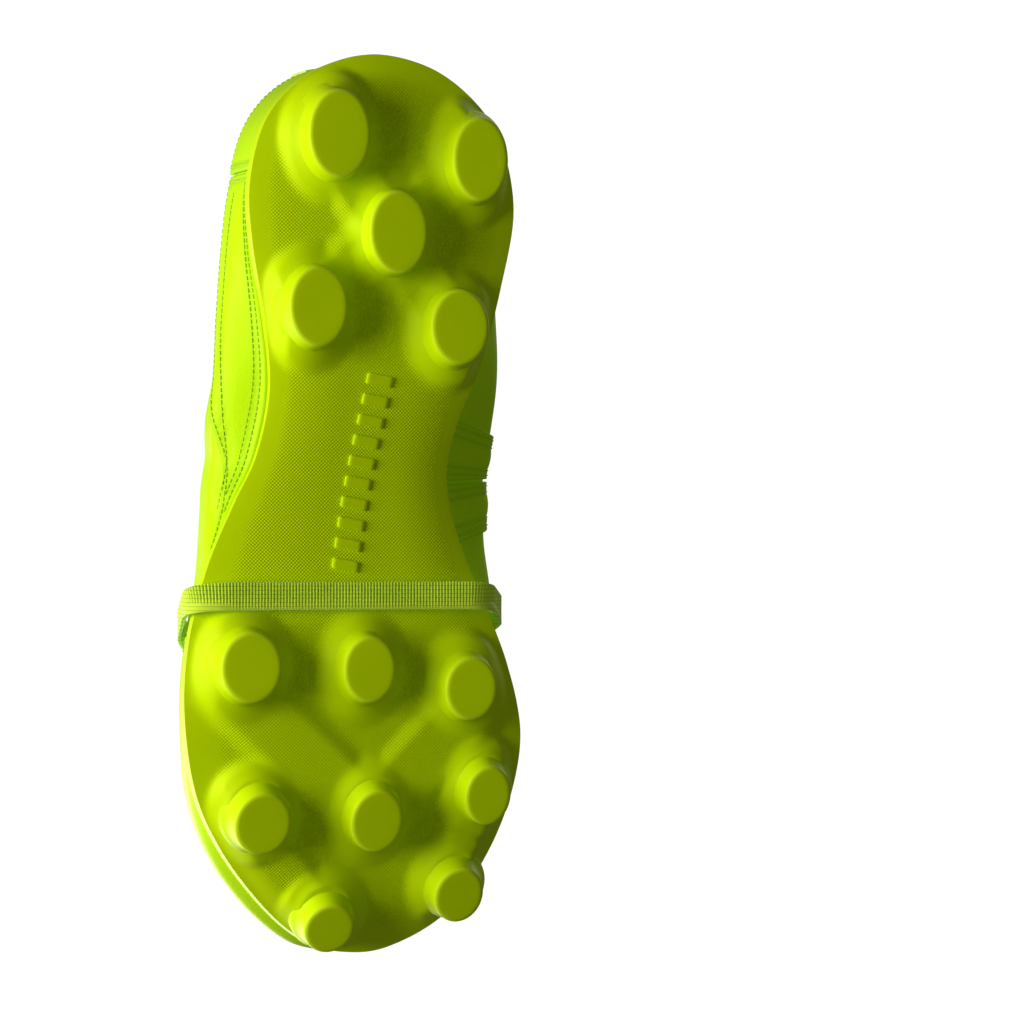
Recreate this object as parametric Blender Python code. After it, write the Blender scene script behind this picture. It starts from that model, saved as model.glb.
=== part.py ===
"""Left soccer cleat: moulded stud sole, layered leather upper, fold-over tongue and arch strap.

Frame: metres, +Z up, toe towards -Y, outer (lateral) side of the foot towards +X. The origin is
on the ground, under the middle of the bounding box, and the heel studs stand on z = 0.
Shapes are worked out in millimetres and scaled to metres when a mesh is made.
"""

import math

import bmesh
import bpy
from mathutils import Matrix, Vector

MM = 0.001

# Plan of the sole's edge, from the middle of the heel to the tip of the toe, as x, y.
HEEL_BACK = (-8.0, 152.5)
TOE_TIP = (-5.4, -152.5)
LATERAL_EDGE = [(8.5, 149.0), (22.0, 141.0), (32.0, 128.0), (36.8, 108.0), (35.8, 88.0),
                (31.5, 62.0), (29.6, 38.0), (33.3, 17.0), (40.8, 1.0), (51.0, -21.0),
                (57.5, -44.0), (59.0, -68.0), (54.2, -95.0), (43.5, -116.0), (26.0, -136.5),
                (10.0, -148.5)]
MEDIAL_EDGE = [(-27.0, 148.0), (-42.0, 137.0), (-51.5, 122.0), (-55.6, 100.0), (-51.0, 74.0),
               (-44.0, 48.0), (-36.5, 28.0), (-33.5, 10.0), (-37.0, -10.0), (-45.5, -33.0),
               (-53.5, -54.0), (-58.8, -77.0), (-56.5, -99.0), (-49.5, -120.0),
               (-37.0, -140.0), (-20.0, -150.5)]

# Sole: underside height along the middle, toe spring and raised waist.
SOLE_BASE = 12.0
SPRING_START, SPRING_RATE = -45.0, 0.0050
WAIST_Y, WAIST_HALF, WAIST_RISE = 6.0, 49.0, 5.5
PLATE = 3.2                       # thickness of the cup's floor
RIM_WALL = 2.2                    # thickness of the cup's wall
EDGE_CURL = 3.2                   # rounding of the bottom edge
RIM_HEIGHT = [(-153.0, 8.5), (-60.0, 8.5), (-10.0, 6.8), (45.0, 6.8), (90.0, 9.0), (153.0, 9.0)]
SPINE_X, SPINE_END = -6.0, 104.0  # middle line that the sole's ribs run to

# Studs: x, y of the face's middle, its width and length, and the stud's height.
STUDS = [(9.6, 124.5, 21.5, 30.0, 12.0), (-39.4, 116.8, 19.5, 28.5, 12.0),
         (-10.9, 91.9, 20.4, 28.2, 12.0), (16.8, 66.7, 20.4, 27.0, 12.0),
         (-32.3, 60.3, 20.4, 25.5, 12.0),
         (39.8, -53.6, 21.0, 24.0, 11.6), (-1.0, -54.6, 18.3, 22.5, 11.6),
         (-36.5, -61.3, 18.3, 21.5, 11.7),
         (33.6, -106.3, 19.7, 22.0, 11.5), (-5.9, -106.0, 18.3, 22.3, 11.5),
         (-44.2, -97.9, 16.2, 21.0, 11.5),
         (6.8, -143.0, 17.6, 18.5, 11.0), (-37.4, -132.2, 17.2, 20.5, 11.0)]
STUD_SIDES = 16

# Upper: distance of its widest line outside the sole's edge, and that line's rise over the rim.
OVERHANG = {1: [(-153, 0.5), (-147, 2.2), (-125, 2.6), (-100, 0.0), (-78, -2.6), (-50, -4.0),
                (-22, -2.5), (9, 9.0), (29, 14.0), (60, 9.5), (89, 1.5), (110, -2.5),
                (143, -3.2), (153, -1.5)],
            -1: [(-153, 0.5), (-146, -0.8), (-70, -1.0), (-45, 4.0), (-22, 11.0), (1, 17.5), (29, 17.5),
                 (51, 11.0), (75, 3.5), (100, -0.5), (153, -1.5)]}
GIRTH_RISE = [(-153, 9.0), (-60, 10.0), (-10, 14.0), (50, 15.0), (153, 13.0)]
MIDLINE_X = -8.0                  # ridge of the instep and middle of the opening
OPENING = (87.0, 59.0, 31.5)      # collar opening: middle y, half length, half width
COLLAR_TOP = [(0.0, 93.0), (0.15, 91.0), (0.4, 81.0), (0.6, 84.0), (0.8, 94.0), (1.0, 106.0)]
RIDGE_TOP = [(-112, 70.0), (-85, 70.0), (-58, 74.0), (-30, 83.0), (0, 95.0), (28, 106.0)]
OPEN_END, POLE = 0.50, 0.84       # share of the edge that feeds the opening and the ridge
POLE_Y = -112.0
R_RIM, R_GIRTH = 0.12, 0.34       # heights on a rib: top of the sole's rim, widest line
RIB_ROWS = (0.0, 0.12, 0.15, 0.2, 0.27, 0.34, 0.45, 0.57, 0.685, 0.74, 0.8, 0.86, 0.93, 1.0)
COLUMN = 1 / 36                   # spacing of the ribs along one side of the edge

# Layers of the upper, as offsets outside the foot's surface.
LINING = (0.2, 1.0)
STIFFENER = (1.3, 2.3)
LEATHER = (2.6, 4.0)
OVERLAY = (4.5, 5.6)
FLAP = (6.8, 9.8)
TONGUE_TOP, TONGUE_THICK = -0.7, 5.0
FEATHER_INSET = RIM_WALL + 0.3 + LEATHER[1]
GAP = 0.3

THROAT = 0.70                     # where the vamp closes over the ridge
SIDE_SEAM = 0.62                  # seam from vamp to quarter
FACING_TOP = 0.455                # top corner of the eyestay
FACING_IN = 0.885                 # inner edge of the eyestay on a rib
FACING_WIDE = 0.20
COLLAR_LOW = 0.865                # lower edge of the padded collar
LACE_HOLES = 5
HOLE_RADIUS = 2.2

STRAP_WIDTH, STRAP_THICK, STRAP_LIFT = 9.8, 1.6, 1.6
STRAP_Y, STRAP_LEAN = -30.4, 0.27  # place under the sole, and lean towards the toe with height

HINGE_Y, HINGE_Z = 42.0, 127.0    # fold of the tongue flap
TAB_Y, TAB_Z = 151.9, 84.0        # sewn foot of the heel pull tab
TAB_WIDE, TAB_TALL, TAB_THICK = 14.0, 32.0, 1.6


# ---------------------------------------------------------------- curves and sections
def table(points, x):
    """Smooth value from a table of (x, value) pairs."""
    if x <= points[0][0]:
        return points[0][1]
    if x >= points[-1][0]:
        return points[-1][1]
    i = next(k for k in range(len(points) - 1) if x <= points[k + 1][0])

    def slope(k):
        a, b = points[max(k - 1, 0)], points[min(k + 1, len(points) - 1)]
        return (b[1] - a[1]) / (b[0] - a[0])

    (x0, v0), (x1, v1) = points[i], points[i + 1]
    w, t = x1 - x0, (x - x0) / (x1 - x0)
    return (v0 * (1 + 2 * t) * (1 - t) ** 2 + v1 * t * t * (3 - 2 * t)
            + slope(i) * w * t * (1 - t) ** 2 - slope(i + 1) * w * t * t * (1 - t))


def edge_polyline(steps=16):
    """Closed Catmull-Rom curve through the sole's edge, with the share of each side."""
    knots = [HEEL_BACK, *LATERAL_EDGE, TOE_TIP, *reversed(MEDIAL_EDGE)]
    knots = [Vector(k) for k in knots]
    count, points, share = len(knots), [], []
    for i in range(count):
        p0, p1, p2, p3 = (knots[(i + k) % count] for k in (-1, 0, 1, 2))
        for s in range(steps):
            t = s / steps
            points.append(0.5 * (2 * p1 + (p2 - p0) * t + (2 * p0 - 5 * p1 + 4 * p2 - p3) * t * t
                                 + (3 * p1 - p0 - 3 * p2 + p3) * t ** 3))
    points.append(points[0].copy())
    lengths = [0.0]
    for a, b in zip(points, points[1:]):
        lengths.append(lengths[-1] + (b - a).length)
    toe = (len(LATERAL_EDGE) + 1) * steps
    for i, run in enumerate(lengths):
        share.append(run / lengths[toe] if i <= toe
                     else 1 + (run - lengths[toe]) / (lengths[-1] - lengths[toe]))
    return points, share


EDGE, EDGE_SHARE = edge_polyline()


def edge_point(u):
    """Point on the sole's edge: u is 0 at the heel, 1 at the toe tip and 2 at the heel again."""
    u %= 2.0
    low, high = 0, len(EDGE) - 1
    while high - low > 1:
        mid = (low + high) // 2
        low, high = (mid, high) if EDGE_SHARE[mid] <= u else (low, mid)
    t = (u - EDGE_SHARE[low]) / (EDGE_SHARE[high] - EDGE_SHARE[low])
    return EDGE[low].lerp(EDGE[high], t)


def edge_frame(u):
    """Point on the sole's edge and the outward direction there."""
    run = edge_point(u + 0.006) - edge_point(u - 0.006)
    return edge_point(u), Vector((-run.y, run.x)).normalized()


def side_of(u):
    """Side (+1 lateral, -1 medial) and share from heel to toe, for a place u on the edge."""
    u %= 2.0
    return (1, u) if u <= 1.0 else (-1, 2.0 - u)


def sole_height(y):
    """Underside of the sole on its middle line."""
    spring = 0.5 * SPRING_RATE * max(0.0, SPRING_START - y) ** 2
    reach = min(1.0, abs(y - WAIST_Y) / WAIST_HALF)
    return SOLE_BASE + spring + WAIST_RISE * math.cos(0.5 * math.pi * reach) ** 2


def sole_slope(y):
    return (sole_height(y + 1.0) - sole_height(y - 1.0)) / 2.0


def floor_top(y):
    return sole_height(y) + PLATE


def rim_top(y):
    return sole_height(y) + table(RIM_HEIGHT, y)


def spine_point(u):
    """Point on the sole's middle line shared by the ribs from edge places u and 2 - u."""
    y = 0.5 * (edge_point(u).y + edge_point(2.0 - u).y)
    return Vector((SPINE_X, max(-SPINE_END, min(SPINE_END, y))))


def top_point(side, share):
    """Upper end of a rib: on the collar's edge, or on the ridge of instep and toe."""
    if share <= OPEN_END:
        part = share / OPEN_END
        middle, half_long, half_wide = OPENING
        x = MIDLINE_X + side * half_wide * math.sin(math.pi * part) ** 0.75
        return Vector((x, middle + half_long * math.cos(math.pi * part), table(COLLAR_TOP, part)))
    part = min(1.0, (share - OPEN_END) / (POLE - OPEN_END))
    front = OPENING[0] - OPENING[1]
    y = front + (POLE_Y - front) * part
    return Vector((MIDLINE_X, y, table(RIDGE_TOP, y)))


def smooth(t):
    t = max(0.0, min(1.0, t))
    return t * t * (3 - 2 * t)


def upper_point(u, r, offset):
    """Point on the upper at edge place u and rib height r, offset outwards from the foot."""
    side, share = side_of(u)
    edge, out = edge_frame(u)
    feather = edge - out * FEATHER_INSET
    girth = edge + out * (table(OVERHANG[side], edge.y) - LEATHER[1])
    low, rim = floor_top(edge.y) + 0.4, rim_top(edge.y) + 0.5
    wide = rim + table(GIRTH_RISE, edge.y)
    lean = 0.0
    if r <= R_RIM:
        plan, z = feather, low + (rim - low) * r / R_RIM
    elif r <= R_GIRTH:
        s = (r - R_RIM) / (R_GIRTH - R_RIM)
        plan, z = feather.lerp(girth, smooth(s)), rim + (wide - rim) * s
    else:
        b = (r - R_GIRTH) / (1.0 - R_GIRTH)
        top = top_point(side, share)
        dome = smooth((share - 0.62 * OPEN_END) / (0.38 * OPEN_END))
        slim = 1.15 - 0.27 * smooth((share - 0.5) / 0.2)
        across = (1 - dome) * b * b + dome * (1 - math.cos(0.5 * math.pi * b))
        rise = (1 - dome) * b + dome * math.sin(0.5 * math.pi * b) ** slim
        plan, z = girth.lerp(top.xy, across), wide + (top.z - wide) * rise
        lean = 0.5 * math.pi * dome * b
    plan = plan + out * (offset * math.cos(lean))
    return Vector((plan.x, plan.y, z + offset * math.sin(lean)))


def share_at(side, y):
    """Share from heel to toe at which one side of the sole's edge passes a given y."""
    low, high = 0.0, 1.0
    for _ in range(40):
        mid = 0.5 * (low + high)
        inside = edge_point(mid if side > 0 else 2.0 - mid).y > y
        low, high = (mid, high) if inside else (low, mid)
    return low


def rib_height(u, half_width):
    """Rib height r at which the upper is half_width from the ridge."""
    side, _ = side_of(u)
    edge, out = edge_frame(u)
    girth = edge + out * (table(OVERHANG[side], edge.y) - LEATHER[1])
    reach = min(0.999, half_width / abs(girth.x - MIDLINE_X))
    return R_GIRTH + (1 - R_GIRTH) * math.acos(reach) * 2 / math.pi


# ---------------------------------------------------------------- scene and mesh helpers
def start_scene():
    for item in list(bpy.data.objects):
        bpy.data.objects.remove(item, do_unlink=True)
    parts = bpy.data.collections.new("soccer_cleat")
    tools = bpy.data.collections.new("cutters")
    for group in (parts, tools):
        bpy.context.scene.collection.children.link(group)
    return parts, tools


PARTS, TOOLS = start_scene()


def finish(name, colour, roughness, metallic=0.0):
    """Plain material for one piece."""
    material = bpy.data.materials.new(name)
    material.use_nodes = True
    shader = material.node_tree.nodes["Principled BSDF"]
    shader.inputs["Base Color"].default_value = (*colour, 1.0)
    shader.inputs["Roughness"].default_value = roughness
    shader.inputs["Metallic"].default_value = metallic
    return material


FLUO = (0.55, 0.85, 0.0)
FLUO_DARK = (0.42, 0.68, 0.0)
WEB = (0.62, 0.90, 0.08)


def add_piece(name, bm, material, group=None, sharp=40.0):
    """Turn a bmesh in millimetres into an object in metres, smooth but for its sharp edges."""
    bmesh.ops.recalc_face_normals(bm, faces=bm.faces)
    if bm.calc_volume(signed=True) < 0:
        bmesh.ops.reverse_faces(bm, faces=bm.faces)
    bmesh.ops.scale(bm, vec=(MM, MM, MM), verts=bm.verts)
    mesh = bpy.data.meshes.new(name)
    bm.to_mesh(mesh)
    bm.free()
    mesh.shade_smooth()
    mesh.set_sharp_from_angle(angle=math.radians(sharp))
    if material:
        mesh.materials.append(material)
    piece = bpy.data.objects.new(name, mesh)
    (group or PARTS).objects.link(piece)
    return piece


def loft(bm, rings, caps=True):
    """Skin a row of closed rings with equal counts of points."""
    rows = [[bm.verts.new(p) for p in ring] for ring in rings]
    count = len(rows[0])
    for a, b in zip(rows, rows[1:]):
        for i in range(count):
            j = (i + 1) % count
            bm.faces.new((a[i], a[j], b[j], b[i]))
    if caps:
        bm.faces.new(rows[0])
        bm.faces.new(list(reversed(rows[-1])))
    return rows


def thick_sheet(name, grid, material):
    """Closed shell from a grid of (inner, outer) point pairs; coinciding points are joined."""
    bm = bmesh.new()
    known, cells = {}, []
    for row in grid:
        cell_row = []
        for inner, outer in row:
            key = tuple(round(c, 3) for c in (*inner, *outer))
            if key not in known:
                known[key] = (bm.verts.new(inner), bm.verts.new(outer))
            cell_row.append(known[key])
        cells.append(cell_row)
    uses = {}
    for a, b in zip(cells, cells[1:]):
        for i in range(len(a) - 1):
            corners = []
            for pair in (a[i], a[i + 1], b[i + 1], b[i]):
                if pair not in corners:
                    corners.append(pair)
            if len(corners) < 3:
                continue
            for k in range(1, len(corners) - 1):    # same diagonal in every layer
                fan = (corners[0], corners[k], corners[k + 1])
                bm.faces.new([pair[1] for pair in fan])
                bm.faces.new([pair[0] for pair in reversed(fan)])
            for p, q in zip(corners, corners[1:] + corners[:1]):
                uses.setdefault(frozenset((p, q)), []).append((p, q))
    for sides in uses.values():
        if len(sides) == 1:
            p, q = sides[0]
            bm.faces.new((q[1], p[1], p[0], q[0]))
    return add_piece(name, bm, material)


def steps(start, end, count):
    return [start + (end - start) * i / count for i in range(count + 1)]


def columns(start, end, extra=()):
    """Edge places from start to end: the common ribs between them, and any extra ones."""
    inner = [k * COLUMN for k in range(math.ceil(start / COLUMN), math.floor(end / COLUMN) + 1)]
    return sorted({round(u, 5) for u in (start, end, *inner, *extra)})


def upper_patch(name, us, low, high, layer, material):
    """Layer of the upper over edge places us, from rib height low(share) to high(share)."""
    grid = []
    for u in us:
        share = side_of(u)[1]
        rows = [min(max(r, low(share)), high(share)) for r in RIB_ROWS]
        grid.append([(upper_point(u, r, layer[0]), upper_point(u, r, layer[1])) for r in rows])
    return thick_sheet(name, grid, material)


def sole_pad(name, inset, bottom, top, material, count=40):
    """Flat layer inside the sole, between two heights over the cup's floor."""
    bm = bmesh.new()
    rings = []
    for height, fractions in ((bottom, (0.0, 0.5, 1.0)), (top, (1.0, 0.5, 0.0))):
        for f in fractions:
            ring = []
            for i in range(count):
                u = 2.0 * i / count
                edge, out = edge_frame(u)
                plan = spine_point(u).lerp(edge - out * inset, f)
                ring.append((plan.x, plan.y, floor_top(plan.y) + height(plan.y)))
            rings.append(ring)
    loft(bm, rings, caps=False)
    bmesh.ops.remove_doubles(bm, verts=bm.verts, dist=0.01)
    return add_piece(name, bm, material)


# ---------------------------------------------------------------- sole
def make_outsole():
    """Cup sole with the thirteen studs moulded on."""
    count, rings = round(2 / COLUMN), []
    levels = [("under", f) for f in (0.0, 0.35, 0.68, 0.86, 0.96, 1.0)]
    levels += [("wall", 0.0), ("lip", RIM_WALL), ("floor", RIM_WALL)]
    levels += [("inside", f) for f in (0.6, 0.3, 0.0)]
    for kind, value in levels:
        ring = []
        for i in range(count):
            u = 2.0 * i / count
            edge, out = edge_frame(u)
            spine = spine_point(u)
            if kind == "under":
                plan = spine.lerp(edge - out * (0.35 if value == 1.0 else 0.0), value)
                curl = EDGE_CURL * max(0.0, (value - 0.86) / 0.14) ** 2
                z = sole_height(plan.y) + curl
            elif kind == "wall":
                plan, z = edge, rim_top(edge.y)
            elif kind == "lip":
                plan, z = edge - out * value, rim_top(edge.y)
            elif kind == "floor":
                plan = edge - out * value
                z = floor_top(plan.y) + 0.02
            else:
                plan = spine.lerp(edge - out * RIM_WALL, value)
                z = floor_top(plan.y)
            ring.append((plan.x, plan.y, z))
        rings.append(ring)
    bm = bmesh.new()
    loft(bm, rings, caps=False)
    bmesh.ops.remove_doubles(bm, verts=bm.verts, dist=0.01)
    outsole = add_piece("outsole", bm, finish("outsole", FLUO, 0.55))
    for i, stud in enumerate(STUDS):
        join = outsole.modifiers.new(f"stud_{i + 1}", "BOOLEAN")
        join.operation = "UNION"
        join.object = make_stud(i, *stud)
    return outsole


def make_stud(index, x, y, width, length, height):
    """Oval stud: bevelled face, drafted flank, and a flared mound that sinks into the plate."""
    slope = sole_slope(y + 0.4 * height * abs(sole_slope(y)))
    down = Vector((0.0, slope, -1.0)).normalized()
    base_y = y - height * down.y
    tip = Vector((x, y, sole_height(base_y) + height * down.z))
    turn = down.to_track_quat("-Z", "Y").to_matrix()
    profile = [(0.0, -0.8), (0.8, 0.0), (height - 3.2, 1.5), (height - 0.9, 3.6),
               (height + 1.2, 6.0)]
    rings = []
    for rise, grow in profile:
        ring = []
        for k in range(STUD_SIDES):
            a = 2 * math.pi * k / STUD_SIDES
            local = Vector(((0.5 * width + grow) * math.cos(a), (0.5 * length + grow) * math.sin(a),
                            rise))
            ring.append(tip + turn @ local)
        rings.append(ring)
    bm = bmesh.new()
    loft(bm, rings)
    stud = add_piece(f"stud_tool_{index + 1}", bm, None, TOOLS)
    stud.hide_render = True
    stud.display_type = "WIRE"
    return stud


def wedge(y):
    """Thickness of the foam midsole."""
    return table([(-153, 2.4), (-60, 2.6), (60, 6.5), (153, 6.8)], y)


BOARD_RISE, BOARD_THICK = 1.9, 1.4
SOCK_THICK = 3.4


def make_inner_sole():
    sole_pad("midsole", FEATHER_INSET + 1.2, lambda y: 2 * GAP, lambda y: GAP + wedge(y),
             finish("midsole", (0.80, 0.82, 0.78), 0.9))
    sole_pad("insole_board", FEATHER_INSET + 1.2, lambda y: GAP + wedge(y) + BOARD_RISE,
             lambda y: GAP + wedge(y) + BOARD_RISE + BOARD_THICK,
             finish("insole_board", (0.55, 0.46, 0.34), 0.9))
    sock = lambda y: GAP + wedge(y) + BOARD_RISE + BOARD_THICK + GAP
    sole_pad("sockliner", FEATHER_INSET + 2.4, sock, lambda y: sock(y) + SOCK_THICK,
             finish("sockliner", FLUO_DARK, 0.9))
    make_shank()


def make_shank():
    """Spring plate in the waist, between the midsole and the board."""
    bm = bmesh.new()
    rings = []
    for y in steps(-32.0, 62.0, 16):
        half = 9.0 * min(1.0, math.sqrt(max(0.05, 1 - ((y - 15.0) / 49.0) ** 6)))
        low = floor_top(y) + GAP + wedge(y) + 0.35
        rings.append([(SPINE_X + 3 + half, y, low), (SPINE_X + 3 + half, y, low + 1.0),
                      (SPINE_X + 3 - half, y, low + 1.0), (SPINE_X + 3 - half, y, low)])
    loft(bm, rings)
    add_piece("shank", bm, finish("shank", (0.6, 0.6, 0.62), 0.4, 1.0))


# ---------------------------------------------------------------- upper
LATERAL_PANEL = (0.185, share_at(1, -16.0))
MEDIAL_PANELS = tuple(share_at(-1, y) for y in (30.0, 8.6, 7.4, -13.0))


def facing_inner(share):
    """Rib height of the eyestay's inner edge: it meets the collar at its top corner."""
    return 1.0 - (1.0 - FACING_IN) * smooth((share - FACING_TOP) / (OPEN_END - FACING_TOP))


def quarter_top(share):
    """Quarters end under the padded collar behind, and under the eyestay in front."""
    return 0.855 - 0.115 * smooth((share - FACING_TOP + 0.02) / 0.02)


def vamp_top(share):
    return quarter_top(share) if share < THROAT - 0.0025 else 1.0


def mirrored(us):
    return [2.0 - u for u in reversed(us)]


def make_vamp():
    step = THROAT - 0.005
    us = columns(SIDE_SEAM + 0.001, 2 - SIDE_SEAM - 0.001, (step, 2 - step))
    low = lambda share: 0.0
    upper_patch("vamp", us, low, vamp_top, LEATHER, finish("vamp", FLUO, 0.4))
    upper_patch("vamp_lining", us, low, vamp_top, LINING, finish("vamp_lining", FLUO_DARK, 0.9))
    upper_patch("toe_puff", columns(0.875, 1.125), lambda share: 0.0, lambda share: 0.685,
                STIFFENER, finish("toe_puff", (0.8, 0.8, 0.76), 0.7))


def make_quarters():
    low = lambda share: 0.0
    for name, flip in (("lateral", False), ("medial", True)):
        us = columns(0.001, SIDE_SEAM - 0.001, MEDIAL_PANELS if flip else LATERAL_PANEL)
        us = mirrored(us) if flip else us
        upper_patch(f"quarter_{name}", us, low, quarter_top, LEATHER,
                    finish(f"quarter_{name}", FLUO, 0.4))
        upper_patch(f"quarter_lining_{name}", us, low, quarter_top, LINING,
                    finish(f"quarter_lining_{name}", FLUO_DARK, 0.9))
    upper_patch("heel_counter", columns(-0.2, 0.2), lambda share: 0.0, lambda share: 0.685,
                STIFFENER, finish("heel_counter", (0.8, 0.8, 0.76), 0.7))


def make_overlays():
    """Leather pieces stitched on the outside of the upper."""
    above = R_RIM + 0.03          # just clear of the sole's rim
    upper_patch("heel_cover", columns(-0.175, 0.175), lambda share: above,
                lambda share: 0.835 - 1.2 * share * share, OVERLAY,
                finish("heel_cover", FLUO, 0.4))
    back, front = LATERAL_PANEL
    upper_patch("side_panel_lateral", columns(back, front), lambda share: above,
                lambda share: 0.62 - 0.42 * smooth((share - back) / (front - back)), OVERLAY,
                finish("side_panel_lateral", FLUO, 0.4))
    for name, (start, end) in (("rear", MEDIAL_PANELS[:2]), ("front", MEDIAL_PANELS[2:])):
        us = columns(2.0 - end, 2.0 - start)
        upper_patch(f"side_panel_medial_{name}", us, lambda share: above, lambda share: 0.66,
                    OVERLAY, finish(f"side_panel_medial_{name}", FLUO, 0.4))


def make_eyestays():
    """Facings with a row of punched lace holes."""
    holes = steps(OPEN_END + 0.012, THROAT - 0.035, LACE_HOLES - 1)
    for name, flip in (("lateral", False), ("medial", True)):
        us = columns(FACING_TOP, THROAT - 0.005, steps(FACING_TOP, OPEN_END, 4))
        us = mirrored(us) if flip else us
        facing = upper_patch(f"eyestay_{name}", us, lambda share: facing_inner(share) - FACING_WIDE,
                             facing_inner, OVERLAY, finish(f"eyestay_{name}", FLUO, 0.4))
        bm = bmesh.new()
        for share in holes:
            u = 2.0 - share if flip else share
            inner, outer = (upper_point(u, FACING_IN - 0.06, d) for d in (1.0, 9.0))
            turn = (outer - inner).to_track_quat("Z", "Y").to_matrix().to_4x4()
            place = Matrix.Translation((inner + outer) / 2) @ turn
            bmesh.ops.create_cone(bm, cap_ends=True, segments=10, radius1=HOLE_RADIUS,
                                  radius2=HOLE_RADIUS, depth=(outer - inner).length, matrix=place)
        punch = add_piece(f"punch_{name}", bm, None, TOOLS)
        punch.hide_render = True
        punch.display_type = "WIRE"
        cut = facing.modifiers.new("lace_holes", "BOOLEAN")
        cut.operation = "DIFFERENCE"
        cut.object = punch


def make_collar():
    """Padded roll round the ankle, from one eyestay to the other."""
    rings = []
    for u in steps(-FACING_TOP + 0.008, FACING_TOP - 0.008, 40):
        ring = []
        for k in range(10):
            a = 2 * math.pi * k / 10
            r = 0.5 * (1.0 + COLLAR_LOW) + 0.5 * (1.0 - COLLAR_LOW) * math.cos(a)
            ring.append(upper_point(u, r, 0.2 + 4.4 * math.sin(a)))
        rings.append(ring)
    bm = bmesh.new()
    loft(bm, rings)
    add_piece("collar_padding", bm, finish("collar_padding", FLUO, 0.5))


# ---------------------------------------------------------------- tongue, flap, tab and strap
TONGUE_HALF = 24.0
ACROSS = (-1.0, -0.75, -0.5, -0.25, 0.0, 0.25, 0.5, 0.75, 1.0)


def across_ridge(share, half_width, offset):
    """Points across the ridge from the lateral to the medial side at one offset."""
    points = []
    for s in ACROSS:
        u = share if s < 0 else 2.0 - share
        points.append(upper_point(u, rib_height(u, abs(s) * half_width), offset))
    return points


def opening_arc(half_width, inwards, z_shift):
    """Points inside the front of the collar opening, at its own height."""
    middle, half_long, half_wide = OPENING
    points = []
    for s in ACROSS:
        reach = min(0.98, abs(s) * half_width / (half_wide - 1.0)) ** (1 / 0.75)
        part = 1.0 - math.asin(reach) / math.pi
        top = top_point(1 if s < 0 else -1, part * OPEN_END)
        centre = Vector((MIDLINE_X, middle, top.z))
        points.append(top + (centre - top).normalized() * inwards + Vector((0, 0, z_shift)))
    return points


def closed_section(upper, lower):
    return upper + list(reversed(lower))


def make_tongue():
    """Padded tongue: under the eyestays, then up through the opening to the fold."""
    rings = []
    for y in steps(-53.5, 16.0, 7):
        share = OPEN_END + (28.0 - y) / (28.0 - POLE_Y) * (POLE - OPEN_END)
        half = table([(-54, 15.0), (-42, 20.0), (16, TONGUE_HALF)], y)
        deep = TONGUE_TOP - 2.2 * smooth((y + 10) / 26.0) - 1.8 * smooth((-36.0 - y) / 16.0)
        rings.append(closed_section(across_ridge(share, half, deep),
                                    across_ridge(share, half - 0.6, deep - TONGUE_THICK)))
    for inwards, drop in ((6.2, -6.5), (7.0, 3.0)):
        rings.append(closed_section(opening_arc(TONGUE_HALF, inwards, drop),
                                    opening_arc(TONGUE_HALF - 1.0, inwards + 4.6, drop - 1.5)))
    front, back = [], []
    for s in ACROSS:
        x = MIDLINE_X - s * TONGUE_HALF * 0.96
        front.append(Vector((x, HINGE_Y - 0.2 + 4.0 * s * s, HINGE_Z - 3.4 - 5.0 * s * s)))
        back.append(Vector((x * 0.98 - 0.16, HINGE_Y + 3.6 + 4.0 * s * s,
                            HINGE_Z - 3.6 - 5.0 * s * s)))
    rings.append(closed_section(front, back))
    bm = bmesh.new()
    loft(bm, rings)
    add_piece("tongue", bm, finish("tongue", FLUO, 0.5))


def make_tongue_flap():
    """Fold-over front of the tongue, with its origin on the fold."""
    rings = []
    for turn in (-1.0, 0.0):
        centre = Vector((0.0, HINGE_Y, HINGE_Z))
        reach = 1.5
        along = Vector((0, -1.0, -0.35)).normalized()
        normal = Vector((0, -0.35, 1.0)).normalized()
        shift = along * (reach * (1.0 + turn) - 1.0)
        thick = 0.75 if turn < 0 else 1.5
        top = [centre + shift + normal * thick + Vector((MIDLINE_X - s * 22.5, 0, -3.0 * s * s))
               for s in ACROSS]
        low = [centre + shift - normal * thick + Vector((MIDLINE_X - s * 22.5, 0, -3.0 * s * s))
               for s in ACROSS]
        rings.append(closed_section(top, low))
    widths = [(-39.5, 7.0), (-37.0, 15.0), (-31.0, 22.0), (-15.0, 29.0), (5.0, 30.0), (22.0, 27.0)]
    for y in (20.0, 10.0, 0.0, -10.0, -20.0, -28.0, -34.0, -37.5, -39.5):
        share = OPEN_END + (28.0 - y) / (28.0 - POLE_Y) * (POLE - OPEN_END)
        half = table(widths, y)
        lift = 5.0 * smooth((y - 2.0) / 26.0)
        rings.append(closed_section(across_ridge(share, half, FLAP[1] + lift),
                                    across_ridge(share, half, FLAP[0] + lift)))
    bm = bmesh.new()
    loft(bm, rings)
    bmesh.ops.translate(bm, verts=bm.verts, vec=(-MIDLINE_X, -HINGE_Y, -HINGE_Z))
    flap = add_piece("tongue_flap", bm, finish("tongue_flap", FLUO, 0.4))
    flap.location = Vector((MIDLINE_X, HINGE_Y, HINGE_Z)) * MM


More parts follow.
